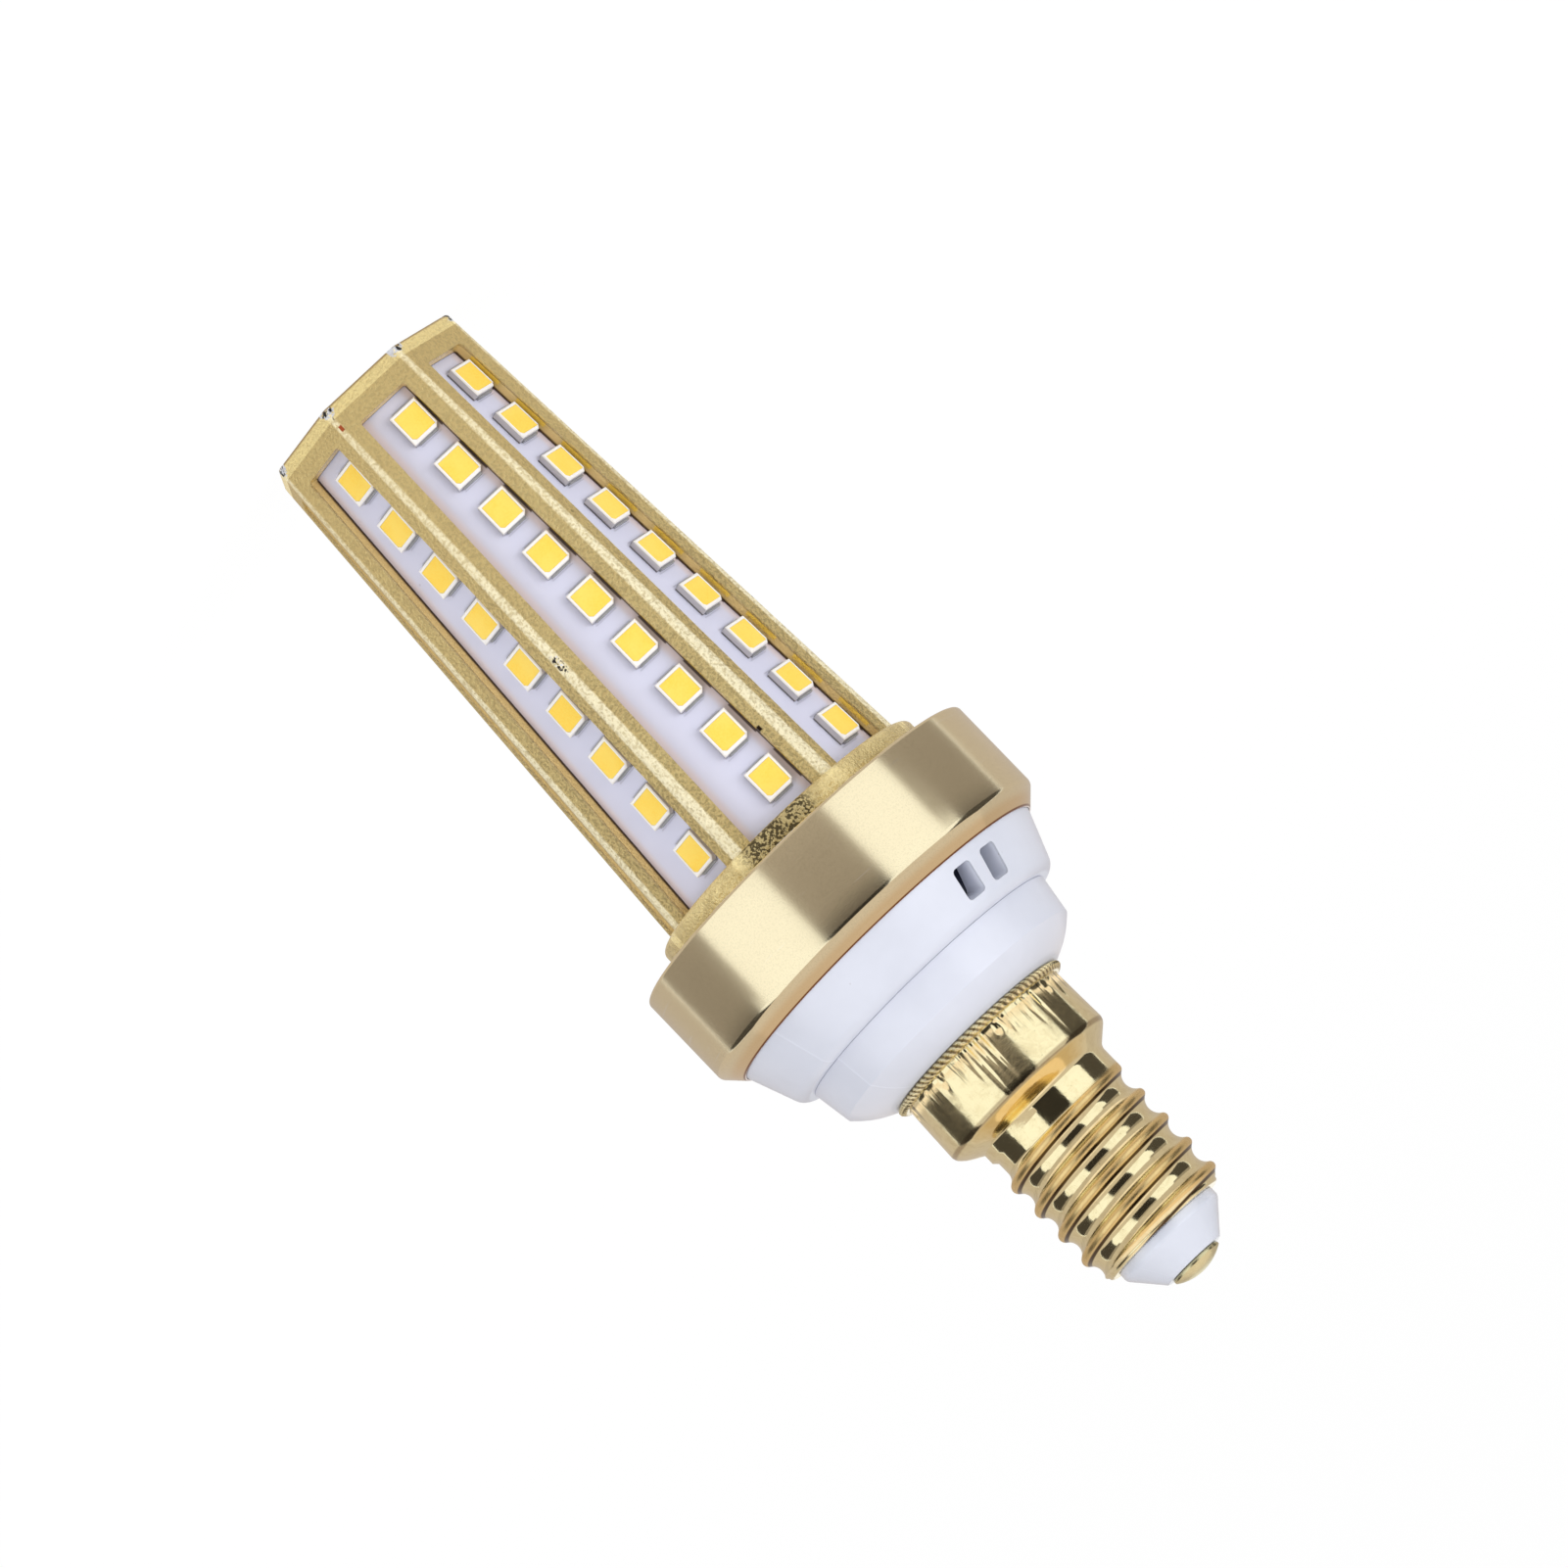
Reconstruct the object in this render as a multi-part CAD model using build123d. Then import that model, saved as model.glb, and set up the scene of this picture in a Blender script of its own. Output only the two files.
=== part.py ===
from build123d import *
import math
import os

# A corn lamp: an octagonal cage of LED strips on a collar, a white driver housing
# and a small screw cap. It stands on the flat end of its head, with the cap upwards,
# and its axis is +Z. All lengths are millimetres.

# Clearances between mating pieces
fit_gap = 0.05
solder_gap = 0.02

# How far the window and slot cutters reach past a wall on each side
cutter_reach = 1.2

# Cage, an octagonal frustum that widens from the head to its round lip ring
face_count = 8
first_face_angle = -90.0
head_apothem = 9.75
base_apothem = 12.5
cage_length = 51.65
cage_wall = 1.2
head_thickness = 2.0
long_edge_round = 0.9
head_edge_round = 0.25
window_start = 2.9
window_side_margin = 1.59
window_corner_round = 0.3
ring_radius = 14.2
ring_height = 2.25
ring_edge_round = 0.5
spigot_radius = 12.95
spigot_length = 2.0

# LED strips and the two boards that join them
board_thickness = 1.0
strip_end_gap = 0.1
joining_board_thickness = 1.0
joining_board_drop = 0.9
wire_window_radius = 3.0

# LED packages, as many as fit a strip, in a row that stands off the middle of its face
led_pitch = 5.34
first_led = 5.92
last_led_margin = 1.2
led_row_offset = 0.91
led_row_drift = 0.0105
led_length = 3.2
led_width = 2.8
led_height = 0.8
led_edge_chamfer = 0.1
led_corner_cut = 0.35
phosphor_length = 2.6
phosphor_width = 2.36
phosphor_depth = 0.25
phosphor_corner = 0.28
terminal_reach = 0.15
terminal_width = 2.0
terminal_height = 0.35

# Collar, a turned ring with a bevelled edge towards the cap
collar_radius = 18.0
collar_straight = 8.7
collar_height = 10.25
collar_plate = 1.5
collar_wall = 1.65
collar_bevel_land = 0.12
collar_shoulder_round = 1.0
collar_edge_round = 0.25

# Upper housing, a cone that plugs into the collar
upper_cone_fall = 1.9
upper_length = 4.95
upper_wall = 2.1
upper_skirt = 8.6
upper_end_round = 1.3
upper_end_lip = 2.35

# Ventilation slots, in two pairs on opposite sides
vent_pair_angle = 235.8
vent_spacing = 12.6
vent_width = 2.05
vent_length = 3.0
vent_from_collar = 0.95
vent_corner_round = 0.4

# Lower housing, from the parting line to the cap
lower_step = 1.2
lower_draft = 0.55
lower_straight = 3.5
lower_length = 5.75
lower_rim_round = 0.35
lower_wall = 1.1
lower_plug_length = 2.2
lower_bulge = 0.22
cap_seat_radius = 9.35
neck_length = 6.1

# Screw cap, a drawn shell with a plain skirt and a rolled right-hand thread
shell_wall = 0.35
bead_radius = 9.25
bead_height = 0.65
skirt_root_radius = 8.45
skirt_radius = 8.62
skirt_length = 6.35
skirt_step = 1.6
skirt_round = 0.75
neck_round = 0.8
neck_radius = 6.9
thread_crest_radius = 6.88
thread_root_radius = 6.12
thread_pitch = 2.822
thread_start = 9.74
thread_start_angle = 126.0
thread_turns = 3.85
thread_width = 2.4
run_out_turns = 0.32
run_out_slope = 42.0
neck_end = 8.75
root_start = 9.45
shell_length = 22.75
shell_rim_radius = 5.55
shell_rim_round = 0.6

# Tip insulator and centre contact
insulator_radius = 5.25
insulator_rim = 0.8
insulator_land_radius = 2.95
insulator_cone = 2.7
insulator_depth = 1.6
contact_radius = 2.5
contact_rise = 1.05
contact_edge = 0.3
contact_stem_radius = 0.75
contact_stem_below = 1.2

# Driver board and its components
driver_thickness = 1.0
driver_side_gap = 0.4
driver_wide_length = 12.4
driver_lift = 2.1
driver_top_gap = 0.4
component_margin = 1.25
capacitor_radius = 4.0
capacitor_length = 10.2
capacitor_groove = 0.3
capacitor_groove_start = 1.2
capacitor_groove_width = 0.9
component_gap = 2.5
film_depth = 5.0
film_height = 8.0
chip_size = (4.9, 1.5, 3.9)
rectifier_size = (4.7, 1.6, 3.9)
coil_radius = 4.0
coil_winding_radius = 3.6
coil_height = 5.0
coil_flange = 0.8
resistor_radius = 1.2
resistor_length = 6.0
wire_radius = 0.45
wire_bend_radius = 1.35
output_wire_offset = 3.2
shell_wire_offset = 4.2

# Values worked out from the sizes above
taper = math.atan((base_apothem - head_apothem) / cage_length)
edge_tan = math.tan(math.pi / face_count)
collar_bottom = cage_length + ring_height
collar_top = collar_bottom + collar_height
parting = collar_top + upper_length
cap_seat = parting + lower_length
shell_top = cap_seat + shell_length
insulator_top = shell_top + insulator_rim + insulator_cone
board_depth = cage_wall + fit_gap
board_back = board_depth + board_thickness
joining_board_bottom = collar_bottom - joining_board_drop
leds_per_strip = int((cage_length - first_led - led_length / 2 - last_led_margin) / led_pitch) + 1
collar_bore = collar_radius - collar_wall
housing_skirt_radius = collar_bore - fit_gap
upper_end_radius = housing_skirt_radius - upper_cone_fall
housing_opening = upper_end_radius - upper_end_lip
lower_radius = upper_end_radius - lower_step
lower_rim_radius = lower_radius - lower_draft
neck_outer = skirt_root_radius - shell_wall - fit_gap
neck_inner = neck_outer - lower_wall
plug_radius = housing_opening - fit_gap
driver_half = plug_radius - lower_wall - driver_side_gap
driver_bottom = collar_bottom + driver_lift
driver_top = cap_seat + neck_length - driver_top_gap
component_seat = driver_thickness / 2 + solder_gap
film_width = 2 * (driver_half - component_margin - capacitor_radius) - component_gap


def apothem_at(height):
    """Distance from the axis to the middle of a face at a height."""
    return head_apothem + height * math.tan(taper)


def octagon(apothem):
    """Outline of the cage with a face towards the first face angle."""
    turn = first_face_angle + 180 / face_count
    return RegularPolygon(apothem, face_count, major_radius=False, rotation=turn)


def frustum(low, high, inset):
    """Octagonal solid between two heights, a given depth behind the faces."""
    shift = inset / math.cos(taper)
    bottom = Plane.XY.offset(low) * octagon(apothem_at(low) - shift)
    top = Plane.XY.offset(high) * octagon(apothem_at(high) - shift)
    return loft([bottom, top])


def face_plane(face):
    """Frame on a face: X climbs the slope from the head, Y runs across, Z points out."""
    angle = math.radians(first_face_angle + face * 360 / face_count)
    side = Vector(math.cos(angle), math.sin(angle), 0)
    outward = side * math.cos(taper) - Vector(0, 0, math.sin(taper))
    up_slope = side * math.sin(taper) + Vector(0, 0, math.cos(taper))
    return Plane(origin=side * head_apothem, x_dir=up_slope, z_dir=outward)


def half_width(along, depth):
    """Half the width of a face at a distance up its slope and a depth behind it."""
    return (head_apothem + along * math.sin(taper) - depth * math.cos(taper)) * edge_tan


def strip_outline(start, end, depth, margin):
    """Tapered outline on a face, a margin inside its two long edges."""
    low = half_width(start, depth) - margin
    high = half_width(end, depth) - margin
    return Polygon((start, -low), (end, -high), (end, high), (start, low), align=None)


def window_cutter(face):
    """Window through one face, which runs out at the lip ring."""
    start = window_start / math.cos(taper)
    end = (cage_length + ring_height) / math.cos(taper)
    outline = strip_outline(start, end, 0, window_side_margin)
    head_corners = outline.vertices().sort_by(Axis.X)[:2]
    outline = fillet(head_corners, window_corner_round)
    return extrude(face_plane(face) * outline, amount=cage_wall + cutter_reach, both=True)


def tube(outer, inner, low, high):
    """Plain ring between two heights."""
    ring = Circle(outer) - Circle(inner)
    return extrude(Plane.XY.offset(low) * ring, amount=high - low)


def make_cage():
    """Cage with a closed head, eight windows, a lip ring and a spigot for the collar."""
    body = frustum(0, cage_length, 0)
    long_edges = body.edges().filter_by(lambda edge: abs(edge.tangent_at(0.5).Z) > 0.5)
    body = fillet(long_edges, long_edge_round)
    body = fillet(body.faces().sort_by(Axis.Z)[0].edges(), head_edge_round)
    for face in range(face_count):
        body -= window_cutter(face)
    ring = extrude(Plane.XY.offset(cage_length) * Circle(ring_radius), amount=ring_height)
    ring = fillet(ring.edges().sort_by(Axis.Z)[0], ring_edge_round)
    spigot = extrude(Plane.XY.offset(collar_bottom) * Circle(spigot_radius), amount=spigot_length)
    cavity = frustum(head_thickness, collar_bottom + spigot_length, cage_wall)
    return body + ring + spigot - cavity


def make_led_board(face):
    """LED strip, held against the inside of one face."""
    low = head_thickness + strip_end_gap - board_depth * math.sin(taper)
    high = joining_board_bottom - strip_end_gap - board_back * math.sin(taper)
    outline = strip_outline(low / math.cos(taper), high / math.cos(taper), board_back, fit_gap)
    seat = face_plane(face).offset(-board_back)
    return extrude(seat * outline, amount=board_thickness)


def led_places(face):
    """Frames of the LEDs of one strip, on the surface of its board."""
    seat = face_plane(face).offset(-board_depth + solder_gap)
    steps = [led_pitch * index for index in range(leds_per_strip)]
    return [
        seat * Pos(first_led + step, led_row_offset + led_row_drift * step) for step in steps
    ]


def phosphor_outline():
    """Phosphor window of a package, with one corner cut as the polarity mark."""
    half_x = phosphor_length / 2
    half_y = phosphor_width / 2
    corners = [
        (-half_x, -half_y),
        (half_x - phosphor_corner, -half_y),
        (half_x, -half_y + phosphor_corner),
        (half_x, half_y),
        (-half_x, half_y),
    ]
    return Polygon(*corners, align=None)


def led_body():
    """White package with a shallow well and one upright edge cut off."""
    stand = (Align.CENTER, Align.CENTER, Align.MIN)
    block = Box(led_length, led_width, led_height, align=stand)
    upright = block.edges().filter_by(Axis.Z).sort_by_distance((led_length, led_width, 0))[0]
    block = chamfer(upright, led_corner_cut)
    block = chamfer(block.faces().sort_by(Axis.Z)[-1].edges(), led_edge_chamfer)
    well = Plane.XY.offset(led_height - phosphor_depth) * phosphor_outline()
    return block - extrude(well, amount=phosphor_depth)


def led_phosphor():
    """Yellow phosphor that fills the well of a package."""
    low = led_height - phosphor_depth + solder_gap
    outline = offset(phosphor_outline(), amount=-solder_gap, kind=Kind.INTERSECTION)
    return extrude(Plane.XY.offset(low) * outline, amount=phosphor_depth - 2 * solder_gap)


def led_terminals():
    """Two tinned terminals, one at each end of a package."""
    stand = (Align.MIN, Align.CENTER, Align.MIN)
    tab = Box(terminal_reach, terminal_width, terminal_height, align=stand)
    near = Pos(led_length / 2 + solder_gap) * tab
    far = Pos(-led_length / 2 - solder_gap - terminal_reach) * tab
    return [near, far]


def row_of(face, shapes):
    """The given small solids at every LED place of a strip, as one group."""
    copies = [place * shape for place in led_places(face) for shape in shapes]
    return Compound(children=copies)


def make_head_board():
    """Board in the head that links the strips."""
    bottom = head_thickness + strip_end_gap
    inset = board_back / math.cos(taper) + fit_gap
    outline = octagon(apothem_at(bottom) - inset)
    return extrude(Plane.XY.offset(bottom) * outline, amount=joining_board_thickness)


def make_joining_board():
    """Board at the collar that the strips end on, with a window for the wires."""
    inset = cage_wall / math.cos(taper) + fit_gap
    outline = octagon(apothem_at(joining_board_bottom) - inset) - Circle(wire_window_radius)
    return extrude(Plane.XY.offset(joining_board_bottom) * outline, amount=joining_board_thickness)


def revolved(points, rounded):
    """Turned piece from a half section in (radius, height), with some corners rounded."""
    section = Polygon(*points, align=None)
    for index, radius in rounded.items():
        target = Vector(*points[index])
        corner = section.vertices().sort_by_distance(target)[0]
        section = fillet(corner, radius)
    return revolve(Plane.XZ * section, Axis.Z)


def make_collar():
    """Turned collar: a plate with a bore for the cage and a wall round the housing."""
    bevel_start = collar_bottom + collar_straight
    points = [
        (spigot_radius + fit_gap, collar_bottom),
        (collar_radius, collar_bottom),
        (collar_radius, bevel_start),
        (collar_bore + collar_bevel_land, collar_top),
        (collar_bore, collar_top),
        (collar_bore, collar_bottom + collar_plate),
        (spigot_radius + fit_gap, collar_bottom + collar_plate),
    ]
    return revolved(points, {1: collar_edge_round, 2: collar_shoulder_round})


def vent_cutter(angle):
    """Slot through the cone, square to its surface."""
    slope = math.atan((housing_skirt_radius - upper_end_radius) / upper_length)
    middle = vent_from_collar + vent_length / 2 * math.cos(slope)
    radius = housing_skirt_radius - middle * math.tan(slope)
    around = math.radians(angle)
    side = Vector(math.cos(around), math.sin(around), 0)
    outward = side * math.cos(slope) + Vector(0, 0, math.sin(slope))
    down_slope = side * math.sin(slope) - Vector(0, 0, math.cos(slope))
    origin = side * radius + Vector(0, 0, collar_top + middle)
    plane = Plane(origin=origin, x_dir=down_slope, z_dir=outward)
    outline = RectangleRounded(vent_length, vent_width, vent_corner_round)
    return extrude(plane * outline, amount=upper_wall + cutter_reach, both=True)


def make_upper_housing():
    """Hollow cone with a skirt inside the collar and two pairs of slots."""
    skirt_bottom = collar_top - upper_skirt
    inner_top = parting - upper_wall
    points = [
        (housing_skirt_radius, skirt_bottom),
        (housing_skirt_radius, collar_top),
        (upper_end_radius, parting),
        (housing_opening, parting),
        (housing_opening, inner_top),
        (upper_end_radius - upper_wall, inner_top),
        (housing_skirt_radius - upper_wall, collar_top),
        (housing_skirt_radius - upper_wall, skirt_bottom),
    ]
    shell = revolved(points, {2: upper_end_round})
    for side in (0, 180):
        for step in (-0.5, 0.5):
            shell -= vent_cutter(vent_pair_angle + side + step * vent_spacing)
    return shell


def make_lower_housing():
    """Shoulder piece with a plug into the upper housing and a neck inside the cap."""
    rim = parting + lower_straight
    plug_bottom = parting - lower_plug_length
    neck_top = cap_seat + neck_length
    lean = (lower_rim_radius - cap_seat_radius) / 2
    rise = (cap_seat - rim) / 2
    bulge_x = (lower_rim_radius + cap_seat_radius) / 2 + lower_bulge * rise / math.hypot(lean, rise)
    bulge_z = (rim + cap_seat) / 2 + lower_bulge * lean / math.hypot(lean, rise)
    with BuildPart() as housing:
        with BuildSketch(Plane.XZ) as section:
            with BuildLine():
                outer = Polyline((plug_radius, plug_bottom), (plug_radius, parting + fit_gap),
                                 (lower_radius, parting + fit_gap), (lower_rim_radius, rim))
                shoulder = ThreePointArc(outer @ 1, (bulge_x, bulge_z), (cap_seat_radius, cap_seat))
                neck = Polyline(shoulder @ 1, (neck_outer, cap_seat), (neck_outer, neck_top),
                                (neck_inner, neck_top), (neck_inner, cap_seat - lower_wall))
                Polyline(neck @ 1, (lower_rim_radius - lower_wall - lower_rim_round, rim),
                         (plug_radius - lower_wall, parting + lower_wall),
                         (plug_radius - lower_wall, plug_bottom), outer @ 0)
            make_face()
            corner = section.vertices().sort_by_distance((lower_rim_radius, rim))[0]
            fillet(corner, lower_rim_round)
        revolve(axis=Axis.Z)
    return housing.part


def shell_line(inset):
    """Line of the cap in (radius, height), from the bead to the rim, inside its outer face."""
    skirt_top = cap_seat + skirt_length
    neck_low = skirt_top + skirt_step
    return [
        (skirt_root_radius - inset, cap_seat + bead_height),
        (skirt_radius - inset, skirt_top),
        (neck_radius - inset, neck_low),
        (neck_radius - inset, cap_seat + neck_end),
        (thread_root_radius - inset, cap_seat + root_start),
        (thread_root_radius - inset, shell_top - shell_rim_round - inset),
        (shell_rim_radius - inset, shell_top - inset),
    ]


def wound_ridge(turns, slope):
    """Rounded ridge wound on the shell's root, which sinks into it at a slope."""
    half = thread_width / 2
    start_radius = thread_root_radius - shell_wall / 2
    path = Helix(thread_pitch, thread_pitch * turns, start_radius, cone_angle=-slope)
    with BuildSketch(Plane.XZ) as section:
        with BuildLine():
            crest = ThreePointArc((start_radius, -half), (thread_crest_radius, 0), (start_radius, half))
            Line(crest @ 1, crest @ 0)
        make_face()
    return sweep(section.sketch, path=path, is_frenet=True)


def thread_ridge():
    """Right-hand thread from the neck up the shell, with a run-out under the rim."""
    run_out = Pos(0, 0, thread_pitch * thread_turns) * Rot(0, 0, 360 * thread_turns)
    ridge = wound_ridge(thread_turns, 0) + run_out * wound_ridge(run_out_turns, run_out_slope)
    return Pos(0, 0, cap_seat + thread_start) * Rot(0, 0, thread_start_angle) * ridge


def make_screw_shell():
    """Drawn cap: rolled bead, skirt, step, neck, thread and a rim round the insulator."""
    low = cap_seat + fit_gap
    bead = [(0, low), (bead_radius, low), (bead_radius, cap_seat + bead_height / 2)]
    outer = revolved(bead + shell_line(0) + [(0, shell_top)], {4: skirt_round, 5: neck_round})
    inner_line = shell_line(shell_wall)
    rim_bore = inner_line[-1][0]
    mouth = [(0, cap_seat), (inner_line[0][0], cap_seat)]
    inner = revolved(mouth + inner_line + [(rim_bore, shell_top), (0, shell_top)], {})
    return outer + thread_ridge() - inner


def make_tip_insulator():
    """Blunt white cone in the end of the cap, with a hole for the contact's stem."""
    seat = shell_top + fit_gap
    rim = seat + insulator_rim
    plug = shell_rim_radius - shell_wall - fit_gap
    bore = contact_stem_radius + fit_gap
    points = [
        (bore, seat - insulator_depth),
        (plug, seat - insulator_depth),
        (plug, seat),
        (insulator_radius, seat),
        (insulator_radius, rim),
        (insulator_land_radius, insulator_top),
        (bore, insulator_top),
    ]
    return revolved(points, {4: insulator_rim / 2})


def make_centre_contact():
    """Domed contact with a stem down through the insulator."""
    base = insulator_top + fit_gap
    stem_bottom = base - insulator_rim - insulator_cone - insulator_depth - contact_stem_below
    with BuildPart() as contact:
        with BuildSketch(Plane.XZ):
            with BuildLine():
                edge = Polyline((0, stem_bottom), (contact_stem_radius, stem_bottom),
                                (contact_stem_radius, base), (contact_radius, base),
                                (contact_radius, base + contact_edge))
                dome = RadiusArc(edge @ 1, (0, base + contact_rise), -dome_radius())
                Line(dome @ 1, edge @ 0)
            make_face()
        revolve(axis=Axis.Z)
    return contact.part


def dome_radius():
    """Radius of the sphere that the contact's dome is part of."""
    rise = contact_rise - contact_edge
    return (contact_radius ** 2 + rise ** 2) / (2 * rise)


def make_driver_board():
    """Upright driver board, wide in the housing and narrow in the neck."""
    narrow_half = math.sqrt(neck_inner ** 2 - (driver_thickness / 2) ** 2) - fit_gap
    wide_top = driver_bottom + driver_wide_length
    points = [
        (-driver_half, driver_bottom),
        (driver_half, driver_bottom),
        (driver_half, wide_top),
        (narrow_half, wide_top),
        (narrow_half, driver_top),
        (-narrow_half, driver_top),
        (-narrow_half, wide_top),
        (-driver_half, wide_top),
    ]
    outline = Plane.XZ.offset(-driver_thickness / 2) * Polygon(*points, align=None)
    return extrude(outline, amount=driver_thickness)


def front_block(size, x, z):
    """Boxed component on the front of the driver board."""
    width, depth, height = size
    return Pos(x, -component_seat - depth / 2, z) * Box(width, depth, height)


def back_block(size, x, z):
    """Boxed component on the back of the driver board."""
    width, depth, height = size
    return Pos(x, component_seat + depth / 2, z) * Box(width, depth, height)


def make_smoothing_capacitor():
    """Electrolytic can with its rolled groove, lying up the board."""
    low = driver_bottom + wire_radius
    can = Cylinder(capacitor_radius, capacitor_length, align=(Align.CENTER, Align.CENTER, Align.MIN))
    ring = tube(capacitor_radius + fit_gap, capacitor_radius - capacitor_groove,
                capacitor_groove_start, capacitor_groove_start + capacitor_groove_width)
    side = component_margin + capacitor_radius - driver_half
    return Pos(side, -component_seat - capacitor_radius, low) * (can - ring)


def make_inductor():
    """Drum coil on the back of the board: two flanges and the winding between them."""
    winding = Cylinder(coil_winding_radius, coil_height)
    flange = Cylinder(coil_radius, coil_flange)
    shift = (coil_height - coil_flange) / 2
    drum = winding + Pos(0, 0, shift) * flange + Pos(0, 0, -shift) * flange
    side = component_margin + coil_radius - driver_half
    height = driver_bottom + driver_wide_length / 2
    return Pos(side, component_seat + coil_height / 2, height) * Rot(90, 0, 0) * drum


def make_resistor():
    """Surge resistor upright on the narrow part of the board."""
    middle = (driver_bottom + driver_wide_length + driver_top) / 2
    return Pos(0, -component_seat - resistor_radius, middle) * Cylinder(resistor_radius, resistor_length)


def wire(*points):
    """Round wire through points, with easy bends."""
    if len(points) > 2:
        path = FilletPolyline(*points, radius=wire_bend_radius)
    else:
        path = Line(*points)
    start = Plane(origin=path @ 0, z_dir=path % 0)
    return sweep(start * Circle(wire_radius), path=path)


def make_output_wire(side):
    """Lead from the foot of the driver board to the joining board."""
    x = side * output_wire_offset
    low = joining_board_bottom + joining_board_thickness + solder_gap
    return wire((x, 0, driver_bottom - solder_gap), (x, 0, low))


def make_contact_wire():
    """Lead up the axis from the driver board to the centre contact's stem."""
    stem_bottom = insulator_top + fit_gap - insulator_rim - insulator_cone
    stem_bottom -= insulator_depth + contact_stem_below
    return wire((0, 0, driver_top + solder_gap), (0, 0, stem_bottom - solder_gap))


def make_shell_wire():
    """Lead from the driver board to the inside of the screw shell."""
    reach = thread_root_radius - shell_wall - wire_radius - fit_gap
    bend = cap_seat + skirt_length + skirt_step
    top = cap_seat + thread_start + thread_pitch
    return wire((shell_wire_offset, 0, driver_top + solder_gap), (shell_wire_offset, 0, bend),
                (reach, 0, top))


def all_pieces():
    """Every node of the lamp by name."""
    chip_height = driver_bottom + driver_wide_length / 2
    film_side = driver_half - component_margin - film_width / 2
    film_size = (film_width, film_depth, film_height)
    narrow_middle = (driver_bottom + driver_wide_length + driver_top) / 2
    pieces = {
        "cage_housing": make_cage(),
        "head_board": make_head_board(),
        "joining_board": make_joining_board(),
        "collar_ring": make_collar(),
        "upper_housing": make_upper_housing(),
        "lower_housing": make_lower_housing(),
        "screw_shell": make_screw_shell(),
        "tip_insulator": make_tip_insulator(),
        "centre_contact": make_centre_contact(),
        "driver_board": make_driver_board(),
        "smoothing_capacitor": make_smoothing_capacitor(),
        "film_capacitor": front_block(film_size, film_side, driver_bottom + film_height / 2),
        "driver_chip": back_block(chip_size, film_side, chip_height),
        "bridge_rectifier": back_block(rectifier_size, 0, narrow_middle),
        "inductor": make_inductor(),
        "surge_resistor": make_resistor(),
        "output_wire_1": make_output_wire(-1),
        "output_wire_2": make_output_wire(1),
        "contact_wire": make_contact_wire(),
        "shell_wire": make_shell_wire(),
    }
    for face in range(face_count):
        number = face + 1
        pieces[f"led_board_{number}"] = make_led_board(face)
        pieces[f"led_bodies_{number}"] = row_of(face, [led_body()])
        pieces[f"led_phosphor_{number}"] = row_of(face, [led_phosphor()])
        pieces[f"led_terminals_{number}"] = row_of(face, led_terminals())
    return pieces


os.makedirs("parts", exist_ok=True)
for name, shape in all_pieces().items():
    shape.label = name
    export_step(shape, f"parts/{name}.step")
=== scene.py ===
import math
import random

import bmesh
import bpy
import numpy as np
from bpy.props import FloatProperty, FloatVectorProperty, IntProperty, PointerProperty
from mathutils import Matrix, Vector


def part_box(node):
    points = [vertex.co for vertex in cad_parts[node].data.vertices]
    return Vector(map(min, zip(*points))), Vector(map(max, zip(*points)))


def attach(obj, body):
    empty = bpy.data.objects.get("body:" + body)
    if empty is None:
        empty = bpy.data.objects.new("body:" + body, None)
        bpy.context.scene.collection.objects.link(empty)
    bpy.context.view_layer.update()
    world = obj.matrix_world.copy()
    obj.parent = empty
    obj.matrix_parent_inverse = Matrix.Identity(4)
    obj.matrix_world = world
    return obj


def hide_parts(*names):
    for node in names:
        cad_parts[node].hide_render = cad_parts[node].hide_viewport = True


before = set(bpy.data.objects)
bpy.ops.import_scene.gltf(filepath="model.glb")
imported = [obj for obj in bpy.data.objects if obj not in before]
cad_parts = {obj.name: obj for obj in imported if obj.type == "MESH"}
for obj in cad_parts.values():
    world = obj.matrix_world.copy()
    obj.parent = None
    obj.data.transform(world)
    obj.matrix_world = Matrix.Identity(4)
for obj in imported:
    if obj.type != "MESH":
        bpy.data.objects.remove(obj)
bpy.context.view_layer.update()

bl_info = {
    "name": "Corn lamp dressing",
    "version": (1, 0, 0),
    "blender": (4, 5, 0),
    "location": "3D View > Sidebar > Corn Lamp",
    "description": "Builds the visible skin of a corn lamp over its measured frame",
    "category": "Add Mesh",
}

MM = 0.001

# Heights and radii that the skins share with the frame, in millimetres
COLLAR_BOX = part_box("collar_ring")
COLLAR_LOW = COLLAR_BOX[0].z / MM
COLLAR_TOP = COLLAR_BOX[1].z / MM
COLLAR_RADIUS = COLLAR_BOX[1].x / MM
UPPER_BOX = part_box("upper_housing")
LOWER_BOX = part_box("lower_housing")
SHELL_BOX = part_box("screw_shell")
TIP_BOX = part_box("tip_insulator")
CONTACT_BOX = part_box("centre_contact")
PARTING = UPPER_BOX[1].z / MM
SHELL_LOW = SHELL_BOX[0].z / MM
SHELL_TOP = SHELL_BOX[1].z / MM
TIP_TOP = TIP_BOX[1].z / MM
CONTACT_TOP = CONTACT_BOX[1].z / MM
FACE_COUNT = 8
HEAD_APOTHEM = 9.75
LIP_LOW = 51.65
CAGE_TAPER = 2.75 / LIP_LOW
CAGE_RUN = (5.0, 48.0)
LED_FIRST = 5.97
LED_PITCH = 5.3325
CONE_FOOT = 16.3
CONE_SLOPE = 1.9 / 4.95
CAP_BASE = SHELL_LOW - 0.05
SKIRT_TOP = CAP_BASE + 6.35
SKIRT_EDGE = 81.1
THREAD_FIRST = CAP_BASE + 8.74
KNURL_TWIST = 7.5

# Angles round the lamp: the camera's side and the mould seam in radians, the same side and the
# vent slots in degrees
FRONT = -1.48
SEAM_ANGLE = -0.663
CAMERA_SIDE = 275.4
VENT_SIDE = 235.8

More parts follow.
